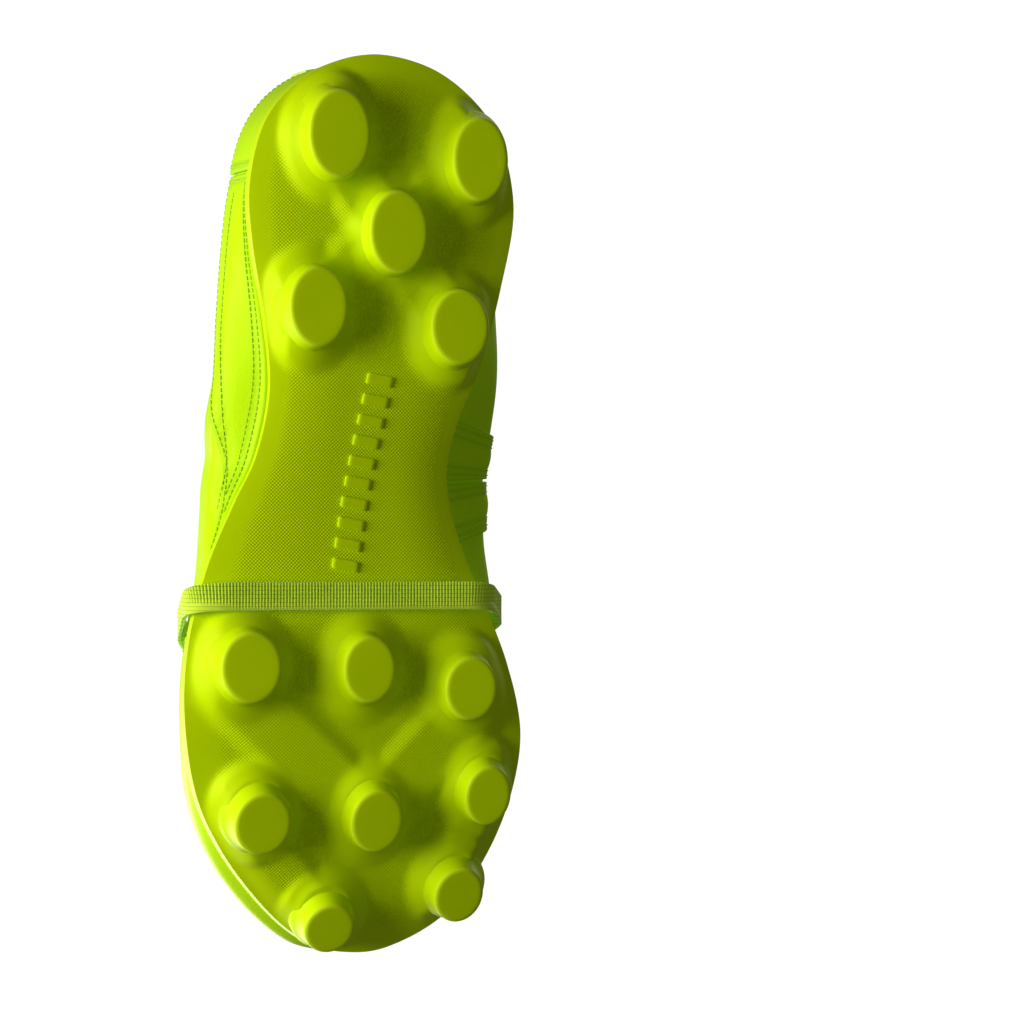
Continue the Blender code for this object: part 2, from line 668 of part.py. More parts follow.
def make_pull_tab():
    """Webbing finger tab behind the heel, sewn at its foot, with its origin there."""
    bm = bmesh.new()
    rings = []
    for part in (0.0, 0.2, 0.4, 0.6, 0.8, 0.93, 1.0):
        z = TAB_TALL * part
        half = 0.5 * TAB_WIDE * math.sqrt(max(0.12, 1 - max(0.0, (part - 0.75) / 0.26) ** 2))
        y = -3.0 * smooth((part - 0.5) / 0.5)      # leans in above the collar
        rings.append([(half, y - 0.5 * TAB_THICK, z), (half, y + 0.5 * TAB_THICK, z),
                      (-half, y + 0.5 * TAB_THICK, z), (-half, y - 0.5 * TAB_THICK, z)])
    loft(bm, rings)
    tab = add_piece("heel_pull_tab", bm, finish("heel_pull_tab", WEB, 0.8))
    tab.location = Vector((MIDLINE_X, TAB_Y, TAB_Z)) * MM


def strap_section(shift):
    """Taut loop round the shoe where the strap lies, as points on a leaning plane."""
    def plane_gap(p):
        return p.y + STRAP_LEAN * (p.z - SOLE_BASE) - STRAP_Y - shift

    def on_plane(side, point_at):
        low, high = 0.35, 0.85
        for _ in range(30):
            mid = 0.5 * (low + high)
            p = point_at(mid if side > 0 else 2.0 - mid)
            low, high = (mid, high) if plane_gap(p) > 0 else (low, mid)
        return point_at(low if side > 0 else 2.0 - low)

    points = []
    for side in (1, -1):
        for r in steps(R_RIM, 1.0, 16):
            cover = 4.1 + 1.5 * smooth((r - 0.5) / 0.15)
            points.append(on_plane(side, lambda u: upper_point(u, r, cover)))
        for f, curl in ((1.0, 99.0), (1.0, EDGE_CURL), (0.96, 1.7), (0.86, 0.0), (0.5, 0.0)):
            def under(u):
                edge, out = edge_frame(u)
                plan = spine_point(u).lerp(edge + out * 2 * GAP, f)
                z = rim_top(edge.y) if curl > 50 else sole_height(plan.y) + curl
                return Vector((plan.x, plan.y, z))
            points.append(on_plane(side, under))
    return points


def taut_loop(points, count):
    """Convex loop round the points in front view, resampled evenly, as (x, z) pairs."""
    flat = sorted({(round(p.x, 4), round(p.z, 4)) for p in points})

    def half_hull(items):
        chain = []
        for p in items:
            while len(chain) > 1:
                (ax, az), (bx, bz) = chain[-2], chain[-1]
                if (bx - ax) * (p[1] - az) - (bz - az) * (p[0] - ax) > 0:
                    break
                chain.pop()
            chain.append(p)
        return chain

    hull = half_hull(flat)[:-1] + half_hull(reversed(flat))[:-1]
    hull.append(hull[0])
    runs = [0.0]
    for a, b in zip(hull, hull[1:]):
        runs.append(runs[-1] + math.dist(a, b))
    start = min(range(len(hull)), key=lambda i: abs(hull[i][0] - MIDLINE_X) + hull[i][1])
    loop = []
    for k in range(count):
        s = (runs[start] + runs[-1] * k / count) % runs[-1]
        i = next(j for j in range(len(runs) - 1) if s <= runs[j + 1])
        t = (s - runs[i]) / (runs[i + 1] - runs[i])
        loop.append(Vector(hull[i]).lerp(Vector(hull[i + 1]), t))
    return loop


def make_strap():
    """Elastic loop: under the sole just behind the front studs, and over the instep."""
    count = 88
    loops = [taut_loop(strap_section(s), count) for s in (-0.5 * STRAP_WIDTH, 0.5 * STRAP_WIDTH)]
    rings = []
    for k in range(count):
        corners = []
        for lift in (STRAP_LIFT, STRAP_LIFT + STRAP_THICK):
            for loop, shift in zip(loops, (-0.5 * STRAP_WIDTH, 0.5 * STRAP_WIDTH)):
                run = loop[(k + 1) % count] - loop[k - 1]
                out = Vector((run.y, -run.x)).normalized()
                p = loop[k] + out * lift
                y = STRAP_Y + shift - STRAP_LEAN * (p.y - SOLE_BASE)
                corners.append((p.x, y, p.y))
        rings.append([corners[0], corners[1], corners[3], corners[2]])
    rings.append(rings[0])
    bm = bmesh.new()
    loft(bm, rings, caps=False)
    bmesh.ops.remove_doubles(bm, verts=bm.verts, dist=0.01)
    add_piece("elastic_strap", bm, finish("elastic_strap", WEB, 0.8))


make_outsole()
make_inner_sole()
make_vamp()
make_quarters()
make_overlays()
make_eyestays()
make_collar()
make_tongue()
make_tongue_flap()
make_pull_tab()
make_strap()
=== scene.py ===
import math

import bmesh
import bpy
import numpy as np
from mathutils import Matrix, Vector


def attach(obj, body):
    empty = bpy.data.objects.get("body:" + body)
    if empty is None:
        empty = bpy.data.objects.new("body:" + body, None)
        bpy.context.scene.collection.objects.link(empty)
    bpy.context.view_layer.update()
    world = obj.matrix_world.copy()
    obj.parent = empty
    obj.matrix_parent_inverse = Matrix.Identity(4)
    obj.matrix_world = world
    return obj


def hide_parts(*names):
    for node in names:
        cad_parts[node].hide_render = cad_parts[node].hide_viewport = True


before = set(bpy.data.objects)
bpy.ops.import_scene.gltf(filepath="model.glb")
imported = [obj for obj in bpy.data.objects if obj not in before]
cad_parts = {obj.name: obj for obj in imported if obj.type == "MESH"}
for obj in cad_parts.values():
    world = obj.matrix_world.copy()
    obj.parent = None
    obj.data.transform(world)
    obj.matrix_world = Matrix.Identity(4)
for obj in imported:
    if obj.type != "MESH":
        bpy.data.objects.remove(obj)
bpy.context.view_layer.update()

# ---------------------------------------------------------------- moulded sole
# One piece of moulded rubber: a shallow cup cemented round the upper, with a knurled underside.
# Smooth ridges tie the thirteen studs together, and each stud stands on a flared mound.
MM = 0.001
HEEL_BACK = (-8.0, 152.5)
TOE_TIP = (-5.4, -152.5)
LATERAL_EDGE = [(8.5, 149.0), (22.0, 141.0), (32.0, 128.0), (36.8, 108.0), (35.8, 88.0),
                (31.5, 62.0), (29.6, 38.0), (33.3, 17.0), (40.8, 1.0), (51.0, -21.0),
                (57.5, -44.0), (59.0, -68.0), (54.2, -95.0), (43.5, -116.0), (26.0, -136.5),
                (10.0, -148.5)]
MEDIAL_EDGE = [(-27.0, 148.0), (-42.0, 137.0), (-51.5, 122.0), (-55.6, 100.0), (-51.0, 74.0),
               (-44.0, 48.0), (-36.5, 28.0), (-33.5, 10.0), (-37.0, -10.0), (-45.5, -33.0),
               (-53.5, -54.0), (-58.8, -77.0), (-56.5, -99.0), (-49.5, -120.0),
               (-37.0, -140.0), (-20.0, -150.5)]
SOLE_BASE = 12.0
SPRING_START, SPRING_RATE = -45.0, 0.0050
WAIST_Y, WAIST_HALF, WAIST_RISE = 6.0, 49.0, 5.5
PLATE, RIM_WALL, EDGE_CURL = 3.2, 2.2, 3.2
RIM_HEIGHT = [(-153.0, 8.5), (-60.0, 8.5), (-10.0, 6.8), (45.0, 6.8), (90.0, 9.0), (153.0, 9.0)]
SPINE_X, SPINE_END = -6.0, 104.0
# Studs: x, y of the face's middle, its width and length, and the stud's height.
STUDS = [(9.6, 124.5, 21.5, 30.0, 12.0), (-39.4, 116.8, 19.5, 28.5, 12.0),
         (-10.9, 91.9, 20.4, 28.2, 12.0), (16.8, 66.7, 20.4, 27.0, 12.0),
         (-32.3, 60.3, 20.4, 25.5, 12.0),
         (39.8, -53.6, 21.0, 24.0, 11.6), (-1.0, -54.6, 18.3, 22.5, 11.6),
         (-36.5, -61.3, 18.3, 21.5, 11.7),
         (33.6, -106.3, 19.7, 22.0, 11.5), (-5.9, -106.0, 18.3, 22.3, 11.5),
         (-44.2, -97.9, 16.2, 21.0, 11.5),
         (6.8, -143.0, 17.6, 18.5, 11.0), (-37.4, -132.2, 17.2, 20.5, 11.0)]
MOUND_RISE, MOUND_REACH = 4.6, 9.0
# Ridges between studs: two ends, half width, and how far they stand down from the plate.
RIDGES = [((11.6, 124.5), (-10.9, 91.9), 10.0, 3.0), ((-41.4, 116.8), (-10.9, 91.9), 10.0, 3.0),
          ((20.0, 63.0), (-10.9, 91.9), 10.5, 3.0), ((-34.3, 58.0), (-10.9, 91.9), 10.5, 3.0),
          ((46.0, -58.0), (-5.9, -106.0), 11.5, 2.2), ((-44.0, -64.0), (-5.9, -106.0), 11.5, 2.2),
          ((38.0, -106.3), (6.8, -143.0), 10.0, 2.4), ((-46.0, -98.0), (-37.4, -132.2), 9.0, 2.4)]
CROWN_START, CROWN_DROP, CROWN_POWER = 0.25, 3.4, 2.4   # rounding of the underside to its edge


def along(points, x):
    """Smooth value from a table of (x, value) pairs."""
    xs, vs = np.array(points, dtype=float).T
    slope = np.gradient(vs)
    slope[1:-1] = (vs[2:] - vs[:-2]) / (xs[2:] - xs[:-2])
    slope[0] = (vs[1] - vs[0]) / (xs[1] - xs[0])
    slope[-1] = (vs[-1] - vs[-2]) / (xs[-1] - xs[-2])
    x = np.clip(x, xs[0], xs[-1])
    i = np.clip(np.searchsorted(xs, x, side="right") - 1, 0, len(xs) - 2)
    w = xs[i + 1] - xs[i]
    t = (x - xs[i]) / w
    return (vs[i] * (1 + 2 * t) * (1 - t) ** 2 + vs[i + 1] * t * t * (3 - 2 * t)
            + slope[i] * w * t * (1 - t) ** 2 - slope[i + 1] * w * t * t * (1 - t))


def ease(t):
    t = np.clip(t, 0.0, 1.0)
    return t * t * (3 - 2 * t)


def sole_outline(steps=16):
    """Closed smooth curve through the sole's edge, with the share of each side along it."""
    knots = np.array([HEEL_BACK, *LATERAL_EDGE, TOE_TIP, *reversed(MEDIAL_EDGE)])
    p0, p1, p2, p3 = (np.roll(knots, shift, axis=0)[:, None] for shift in (1, 0, -1, -2))
    t = (np.arange(steps) / steps)[None, :, None]
    line = 0.5 * (2 * p1 + (p2 - p0) * t + (2 * p0 - 5 * p1 + 4 * p2 - p3) * t * t
                  + (3 * p1 - p0 - 3 * p2 + p3) * t ** 3)
    line = line.reshape(-1, 2)
    line = np.concatenate([line, line[:1]])
    run = np.concatenate([[0.0], np.cumsum(np.linalg.norm(np.diff(line, axis=0), axis=1))])
    toe = (len(LATERAL_EDGE) + 1) * steps
    share = np.where(run <= run[toe], run / run[toe], 1 + (run - run[toe]) / (run[-1] - run[toe]))
    return line, share, run[-1] / 2


EDGE_LINE, EDGE_SHARE, SIDE_LENGTH = sole_outline()


def edge_at(u):
    """Point on the sole's edge: u is 0 at the heel, 1 at the toe tip and 2 at the heel again."""
    u = np.mod(u, 2.0)
    return np.stack([np.interp(u, EDGE_SHARE, EDGE_LINE[:, k]) for k in (0, 1)], axis=-1)


def edge_frame(u):
    run = edge_at(u + 0.006) - edge_at(u - 0.006)
    out = np.stack([-run[..., 1], run[..., 0]], axis=-1)
    return edge_at(u), out / np.linalg.norm(out, axis=-1, keepdims=True)


def sole_height(y):
    spring = 0.5 * SPRING_RATE * np.maximum(0.0, SPRING_START - y) ** 2
    reach = np.minimum(1.0, np.abs(y - WAIST_Y) / WAIST_HALF)
    return SOLE_BASE + spring + WAIST_RISE * np.cos(0.5 * np.pi * reach) ** 2


def floor_top(y):
    return sole_height(y) + PLATE


def rim_top(y):
    return sole_height(y) + along(RIM_HEIGHT, y)


def spine_at(u):
    """Point on the sole's middle line that the edge places u and 2 - u share."""
    y = 0.5 * (edge_at(u)[..., 1] + edge_at(2.0 - u)[..., 1])
    return np.stack([np.full_like(y, SPINE_X), np.clip(y, -SPINE_END, SPINE_END)], axis=-1)


def stud_frame(x, y, height):
    """Middle of a stud's face and the direction in which it stands."""
    y_low = y + 0.4 * height * abs((sole_height(y + 1) - sole_height(y - 1)) / 2)
    slope = (sole_height(y_low + 1) - sole_height(y_low - 1)) / 2
    down = Vector((0.0, slope, -1.0)).normalized()
    base_y = y - height * down.y
    return Vector((x, y, sole_height(base_y) + height * down.z)), down, base_y


def sole_relief(x, y):
    """How far mounds and ridges stand down from the plate, and how smooth they are."""
    mounds = np.zeros_like(x)
    for sx, sy, width, length, height in STUDS:
        base_y = stud_frame(sx, sy, height)[2]
        half_w, half_l = 0.5 * width + 0.6, 0.5 * length + 0.6
        away = np.sqrt(((x - sx) / half_w) ** 2 + ((y - base_y) / half_l) ** 2)
        gap = np.maximum(0.0, away - 1.0) * 0.5 * (half_w + half_l)
        flare = np.clip(1 - gap / MOUND_REACH, 0, 1)
        mounds += (MOUND_RISE * (0.72 * ease(flare) + 0.28 * flare ** 5)) ** 4
    ridges = np.zeros_like(x)
    for (ax, ay), (bx, by), half, rise in RIDGES:
        run = np.array([bx - ax, by - ay])
        t = np.clip(((x - ax) * run[0] + (y - ay) * run[1]) / run.dot(run), 0, 1)
        gap = np.hypot(x - ax - t * run[0], y - ay - t * run[1])
        ridges += (rise * ease((half + 3.4 - gap) / 6.8)) ** 4
    mounds = mounds ** 0.25
    return (mounds ** 3 + ridges ** 0.75) ** (1 / 3), ease(mounds / 1.8)


def joined(name, points, quads, marks=None, crease=38.0):
    """Closed mesh in metres from points in millimetres; points that coincide become one."""
    points = np.asarray(points, dtype=float).reshape(-1, 3)
    _, first, spot = np.unique(np.round(points, 3), axis=0, return_index=True,
                               return_inverse=True)
    faces = []
    for quad in spot.reshape(-1)[np.asarray(quads)].tolist():
        ring = [q for k, q in enumerate(quad) if q != quad[k - 1]]
        if len(ring) > 2 and len(set(ring)) == len(ring):
            faces.append(ring)
    mesh = bpy.data.meshes.new(name)
    mesh.from_pydata((points[first] * MM).tolist(), [], faces)
    for mark, values in (marks or {}).items():
        layer = mesh.attributes.new(mark, "FLOAT", "POINT")
        layer.data.foreach_set("value", np.asarray(values, dtype=float).reshape(-1)[first])
    bm = bmesh.new()
    bm.from_mesh(mesh)
    bmesh.ops.recalc_face_normals(bm, faces=bm.faces)
    if bm.calc_volume(signed=True) < 0:
        bmesh.ops.reverse_faces(bm, faces=bm.faces)
    bm.to_mesh(mesh)
    bm.free()
    mesh.shade_smooth()
    mesh.set_sharp_from_angle(angle=math.radians(crease))
    piece = bpy.data.objects.new(name, mesh)
    bpy.context.scene.collection.objects.link(piece)
    return piece


def lattice(rows, columns, closed=False):
    """Quads over rows of points; closed joins the last point of a row to its first."""
    r, c = np.meshgrid(np.arange(rows - 1), np.arange(columns if closed else columns - 1),
                       indexing="ij")
    d = (c + 1) % columns
    corners = (r * columns + c, r * columns + d, (r + 1) * columns + d, (r + 1) * columns + c)
    return np.stack(corners, axis=-1).reshape(-1, 4)


def moulded_sole(ribs=700):
    u = np.arange(ribs) * 2 / ribs
    edge, out = edge_frame(u)
    spine = spine_at(u)
    rings, knurl = [], []
    for f in (*np.linspace(0, 0.93, 58), 0.945, 0.96, 0.972, 0.983, 0.992, 1.0):
        plan = spine + (edge - spine) * f
        drop, polish = sole_relief(plan[:, 0], plan[:, 1])
        curl = CROWN_DROP * max(0.0, (f - CROWN_START) / (1 - CROWN_START)) ** CROWN_POWER
        held = polish * (1 - ease((f - 0.84) / 0.16))
        fade = 1 - 0.8 * ease((f - 0.84) / 0.16)
        z = sole_height(plan[:, 1]) - drop * fade + curl * (1 - held)
        rings.append(np.column_stack([plan, z]))
        knurl.append((1 - polish) * (1 - ease((f - 0.78) / 0.12)))
    top = rim_top(edge[:, 1])
    for inset, z in ((-0.25, top - 1.3), (-0.2, top - 0.8), (0.2, top - 0.35), (0.6, top),
                     (RIM_WALL - 0.5, top), (RIM_WALL, top - 0.4),
                     (RIM_WALL, floor_top(edge[:, 1]) + 1.3)):
        rings.append(np.column_stack([edge - out * inset, z]))
        knurl.append(np.zeros(ribs))
    for f in (0.92, 0.5, 0.0):
        plan = spine + (edge - out * RIM_WALL - spine) * f
        rings.append(np.column_stack([plan, floor_top(plan[:, 1])]))
        knurl.append(np.zeros(ribs))
    return joined("sole_unit", rings, lattice(len(rings), ribs, closed=True), {"knurl": knurl})


sole_unit = moulded_sole()
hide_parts("outsole")
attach(sole_unit, "shoe")


def stud_loft(x, y, width, length, height, sides=56):
    """One oval stud, from the middle of its face to a root sunk in its mound."""
    tip, down, _ = stud_frame(x, y, height)
    turn = np.array(down.to_track_quat("-Z", "Y").to_matrix())
    angle = np.arange(sides) * 2 * np.pi / sides
    rings, tread, worn = [], [], []
    face = [(0.0, 0.0, -1.5), (0.0, 0.4, -1.5), (0.0, 0.85, -1.5), (0.0, 1.0, -1.5)]
    flank = [(0.06, 1.0, -0.95), (0.24, 1.0, -0.5), (0.55, 1.0, -0.18), (1.0, 1.0, 0.0),
             (2.4, 1.0, 0.2), (4.4, 1.0, 0.45), (height - 5.6, 1.0, 0.75),
             (height - 4.6, 1.0, 1.1), (height - 3.7, 1.0, 1.6), (height - 2.9, 1.0, 2.2),
             (height - 2.0, 1.0, 2.8), (height + 1.5, 1.0, 3.0)]
    for rise, shrink, grow in face + flank + [(height + 1.5, 0.0, 3.0)]:
        half_w, half_l = (0.5 * width + grow) * shrink, (0.5 * length + grow) * shrink
        ring = np.column_stack([half_w * np.cos(angle), half_l * np.sin(angle),
                                np.full(sides, rise)])
        rings.append(ring @ turn.T + np.array(tip))
        tread.append(np.full(sides, 1.0 if grow <= -1.5 else 0.0))
        rub = max(0.0, 1 - abs(rise - 0.2) / 0.9) if grow > -1.5 and rise < 2 else 0.0
        worn.append(np.full(sides, rub))
    return np.array(rings), tread, worn


def stud_set():
    points, quads, tread, worn = [], [], [], []
    for stud in STUDS:
        rings, lines, rub = stud_loft(*stud)
        quads.append(lattice(len(rings), rings.shape[1], closed=True) + sum(map(len, points)))
        points.append(rings.reshape(-1, 3))
        tread.append(np.ravel(lines))
        worn.append(np.ravel(rub))
    return joined("studs", np.concatenate(points), np.concatenate(quads),
                  {"tread": np.concatenate(tread), "worn": np.concatenate(worn)}, 50.0)


studs = stud_set()
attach(studs, "shoe")


def put(tree, kind, wires=None, **settings):
    """Adds a node; wires gives its inputs, each a plain value or the output that feeds it."""
    node = tree.nodes.new(kind)
    for key, value in settings.items():
        setattr(node, key, value)
    for key, value in (wires or {}).items():
        if isinstance(value, bpy.types.NodeSocket):
            tree.links.new(value, node.inputs[key])
        else:
            node.inputs[key].default_value = value
    return node


def sum_of(tree, a, b, operation="ADD"):
    return put(tree, "ShaderNodeMath", {0: a, 1: b}, operation=operation).outputs[0]


def shader_group(name, inputs, outputs):
    """Empty shader node group with named value inputs and outputs."""
    group = bpy.data.node_groups.new(name, "ShaderNodeTree")
    for label, value in inputs:
        group.interface.new_socket(label, in_out="INPUT",
                                   socket_type="NodeSocketFloat").default_value = value
    for label in outputs:
        group.interface.new_socket(label, in_out="OUTPUT", socket_type="NodeSocketFloat")
    return group, group.nodes.new("NodeGroupInput"), group.nodes.new("NodeGroupOutput")


def knurl_group():
    """Crossed fine grooves at 45 degrees, as cut in the sole's mould."""
    group, given, result = shader_group("knurl", [("Pitch", 0.00125)], ["Height"])
    place = put(group, "ShaderNodeTexCoord").outputs["Object"]
    axes = put(group, "ShaderNodeSeparateXYZ", {0: place})
    turns = sum_of(group, 2 * math.pi / math.sqrt(2), given.outputs["Pitch"], "DIVIDE")
    waves = []
    for operation in ("ADD", "SUBTRACT"):
        lane = sum_of(group, axes.outputs["X"], axes.outputs["Y"], operation)
        wave = put(group, "ShaderNodeMath", {0: sum_of(group, lane, turns, "MULTIPLY")},
                   operation="SINE").outputs[0]
        waves.append(wave)
    total = sum_of(group, sum_of(group, waves[0], waves[1]), 0.25, "MULTIPLY")
    group.links.new(sum_of(group, total, 0.5), result.inputs["Height"])
    return group


def mottle_group():
    """Slow change of shade over a surface, with finer specks in it."""
    group, given, result = shader_group("mottle", [("Size", 30.0), ("Speck", 900.0)],
                                        ["Shade", "Grit"])
    place = put(group, "ShaderNodeTexCoord").outputs["Object"]
    cloud = put(group, "ShaderNodeTexNoise",
                {"Vector": place, "Scale": given.outputs["Size"], "Detail": 3.0})
    specks = put(group, "ShaderNodeTexNoise",
                 {"Vector": place, "Scale": given.outputs["Speck"], "Detail": 2.0})
    group.links.new(cloud.outputs["Fac"], result.inputs["Shade"])
    group.links.new(specks.outputs["Fac"], result.inputs["Grit"])
    return group


KNURL = knurl_group()
MOTTLE = mottle_group()


def finish(name, roughness, painted_glow=(0.0, 0.0, 0.0), strength=0.0, coat=0.0, sheen=0.0):
    """Material with a Principled shader; a weak emission in the fluorescent dye's colour is painted
    glow that brightens the shaded sides.
    """
    material = bpy.data.materials.new(name)
    material.use_nodes = True
    shader = material.node_tree.nodes["Principled BSDF"]
    shader.inputs["Roughness"].default_value = roughness
    # Weak emission in the dye's colour: painted glow, so the part shines a little by itself.
    shader.inputs["Emission Color"].default_value = (*painted_glow, 1.0)
    shader.inputs["Emission Strength"].default_value = strength
    shader.inputs["Coat Weight"].default_value = coat
    shader.inputs["Coat Roughness"].default_value = 0.35
    shader.inputs["Sheen Weight"].default_value = sheen
    shader.inputs["Specular IOR Level"].default_value = 0.35
    shader.inputs["Specular Tint"].default_value = (0.75, 1.0, 0.08, 1.0)
    return material, material.node_tree, shader


def group_node(tree, group, **values):
    node = put(tree, "ShaderNodeGroup", node_tree=group)
    for label, value in values.items():
        node.inputs[label.replace("_", " ")].default_value = value
    return node


def blend_colour(tree, amount, first, second):
    """Mixes two colours, each a plain one or an output, by a changing amount."""
    mix = put(tree, "ShaderNodeMix", {"Factor": amount}, data_type="RGBA")
    for spot, colour in ((6, first), (7, second)):
        if isinstance(colour, bpy.types.NodeSocket):
            tree.links.new(colour, mix.inputs[spot])
        else:
            mix.inputs[spot].default_value = (*colour, 1.0)
    return mix.outputs[2]


def attribute(tree, name):
    return put(tree, "ShaderNodeAttribute", attribute_name=name).outputs["Fac"]


def rubber_finish():
    material, tree, shader = finish("sole_rubber", 0.5, (0.42, 0.62, 0.0), 0.05)
    mottle = group_node(tree, MOTTLE, Size=22.0, Speck=1400.0)
    knurl = group_node(tree, KNURL, Pitch=0.00086).outputs["Height"]
    mask = attribute(tree, "knurl")
    groove = sum_of(tree, knurl, mask, "MULTIPLY")
    colour = blend_colour(tree, mottle.outputs["Shade"], (0.55, 0.76, 0.0), (0.66, 0.90, 0.0))
    # The knurled area is darkened, most at the bottoms of its grooves: painted shade in the knurl
    # grooves.
    painted_groove_shade = sum_of(tree, sum_of(tree, mask, 0.16, "MULTIPLY"), sum_of(tree, groove, 0.2, "MULTIPLY"),
                  "SUBTRACT")
    colour = blend_colour(tree, painted_groove_shade, colour, (0.20, 0.27, 0.0))
    rub = sum_of(tree, attribute(tree, "worn"), mottle.outputs["Grit"], "MULTIPLY")
    colour = blend_colour(tree, sum_of(tree, rub, 0.5, "MULTIPLY"), colour, (0.74, 0.92, 0.06))
    tree.links.new(colour, shader.inputs["Base Color"])
    rough = sum_of(tree, sum_of(tree, mottle.outputs["Grit"], 0.2, "MULTIPLY"), 0.38)
    tree.links.new(sum_of(tree, rough, sum_of(tree, mask, 0.1, "MULTIPLY")),
                   shader.inputs["Roughness"])
    fine = group_node(tree, KNURL, Pitch=0.0006).outputs["Height"]
    tread = sum_of(tree, sum_of(tree, fine, attribute(tree, "tread"), "MULTIPLY"), 0.3, "MULTIPLY")
    height = sum_of(tree, groove, tread)
    height = sum_of(tree, height, sum_of(tree, mottle.outputs["Grit"], 0.10, "MULTIPLY"))
    bump = put(tree, "ShaderNodeBump", {"Height": height, "Distance": 0.00020, "Strength": 0.9})
    tree.links.new(bump.outputs["Normal"], shader.inputs["Normal"])
    return material


RUBBER = rubber_finish()
sole_unit.data.materials.append(RUBBER)
studs.data.materials.append(RUBBER)

# ---------------------------------------------------------------- raised bars on the waist
# Ten small bars stand out of the waist between the heel and the front studs, moulded with the
# sole. They lie in a straight row that leans a little across the shoe.
BAR_ROW = ((-7.5, 42.5), (4.0, -19.7))
BAR_COUNT, BAR_WIDE, BAR_DEEP, BAR_PROUD = 10, 9.0, 3.6, 0.8


def nodes_tree(name, inputs):
    """Geometry Nodes tree with named inputs, and its input and output nodes."""
    tree = bpy.data.node_groups.new(name, "GeometryNodeTree")
    tree.interface.new_socket("Geometry", in_out="INPUT", socket_type="NodeSocketGeometry")
    for label, kind in inputs:
        tree.interface.new_socket(label, in_out="INPUT", socket_type=f"NodeSocket{kind}")
    tree.interface.new_socket("Geometry", in_out="OUTPUT", socket_type="NodeSocketGeometry")
    return tree, tree.nodes.new("NodeGroupInput"), tree.nodes.new("NodeGroupOutput")


def finish_tree(tree, given, result, instances):
    """Ends a tree: real geometry, smooth, in the given material."""
    solid = put(tree, "GeometryNodeRealizeInstances", {"Geometry": instances})
    smooth = put(tree, "GeometryNodeSetShadeSmooth", {"Geometry": solid.outputs[0]})
    dressed = put(tree, "GeometryNodeSetMaterial",
                  {"Geometry": smooth.outputs[0], "Material": given.outputs["Material"]})
    tree.links.new(dressed.outputs[0], result.inputs[0])


def grown(piece, tree, values):
    """Runs a Geometry Nodes tree on a piece and keeps the result as its plain mesh."""
    step = piece.modifiers.new(tree.name, "NODES")
    step.node_group = tree
    for item in tree.interface.items_tree:
        if item.in_out == "INPUT" and item.name in values:
            step[item.identifier] = values[item.name]
    depsgraph = bpy.context.evaluated_depsgraph_get()
    mesh = bpy.data.meshes.new_from_object(piece.evaluated_get(depsgraph), depsgraph=depsgraph)
    piece.modifiers.remove(step)
    piece.data = mesh
    mesh.name = piece.name
    return piece


def bar_tree():
    tree, given, result = nodes_tree("bar_row", [("Count", "Int"), ("Pitch", "Float"),
                                                 ("Size", "Vector"), ("Material", "Material")])
    step = put(tree, "ShaderNodeCombineXYZ", {"Y": given.outputs["Pitch"]})
    row = put(tree, "GeometryNodeMeshLine", {"Count": given.outputs["Count"],
                                             "Offset": step.outputs[0]})
    block = put(tree, "GeometryNodeMeshCube", {"Size": given.outputs["Size"]})
    soft = put(tree, "GeometryNodeSubdivisionSurface",
               {"Mesh": block.outputs[0], "Level": 3, "Edge Crease": 0.72})
    bars = put(tree, "GeometryNodeInstanceOnPoints",
               {"Points": row.outputs[0], "Instance": soft.outputs[0]})
    finish_tree(tree, given, result, bars.outputs[0])
    return tree


def empty_piece(name):
    piece = bpy.data.objects.new(name, bpy.data.meshes.new(name))
    bpy.context.scene.collection.objects.link(piece)
    return piece


def waist_bars():
    start, end = np.array(BAR_ROW[0]), np.array(BAR_ROW[1])
    length = np.linalg.norm(end - start)
    ahead = (end - start) / length
    aside = np.array([-ahead[1], ahead[0]])
    pitch = length / (BAR_COUNT - 1)
    piece = grown(empty_piece("waist_bars"), bar_tree(),
                  {"Count": BAR_COUNT, "Pitch": pitch * MM, "Material": RUBBER,
                   "Size": (BAR_WIDE * MM, BAR_DEEP * MM, 2.2 * BAR_PROUD * MM)})
    local = np.empty(len(piece.data.vertices) * 3)
    piece.data.vertices.foreach_get("co", local)
    local = local.reshape(-1, 3) / MM
    plan = start + local[:, :1] * aside + local[:, 1:2] * ahead
    z = sole_height(plan[:, 1]) - local[:, 2]
    place = np.column_stack([plan, z]) * MM
    piece.data.vertices.foreach_set("co", place.ravel())
    bm = bmesh.new()
    bm.from_mesh(piece.data)
    bmesh.ops.recalc_face_normals(bm, faces=bm.faces)
    bm.to_mesh(piece.data)
    bm.free()
    return piece


bars = waist_bars()
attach(bars, "shoe")

# ---------------------------------------------------------------- upper: shape of the last
# The upper is cut from smooth leather pieces pulled over a last. Its surface is given by a
# place u round the sole's edge and a height r from the sole (0) to the collar or ridge (1).
OVERHANG = {1: [(-153, 0.5), (-147, 2.2), (-125, 2.6), (-100, 0.0), (-78, -2.6), (-50, -4.0),
                (-22, -2.5), (9, 9.0), (29, 14.0), (60, 9.5), (89, 1.5), (110, -2.5),
                (143, -3.2), (153, -1.5)],
            -1: [(-153, 0.5), (-146, -0.8), (-70, -1.0), (-45, 4.0), (-22, 11.0), (1, 17.5), (29, 17.5),
                 (51, 11.0), (75, 3.5), (100, -0.5), (153, -1.5)]}
GIRTH_RISE = [(-153, 9.0), (-60, 10.0), (-10, 14.0), (50, 15.0), (153, 13.0)]
MIDLINE_X = -8.0
OPENING = (87.0, 59.0, 31.5)
COLLAR_TOP = [(0.0, 93.0), (0.15, 91.0), (0.4, 81.0), (0.6, 84.0), (0.8, 94.0), (1.0, 106.0)]
RIDGE_TOP = [(-112, 70.0), (-85, 70.0), (-58, 74.0), (-30, 83.0), (0, 95.0), (28, 106.0)]
OPEN_END, POLE, POLE_Y = 0.50, 0.84, -112.0
R_RIM, R_GIRTH = 0.12, 0.34
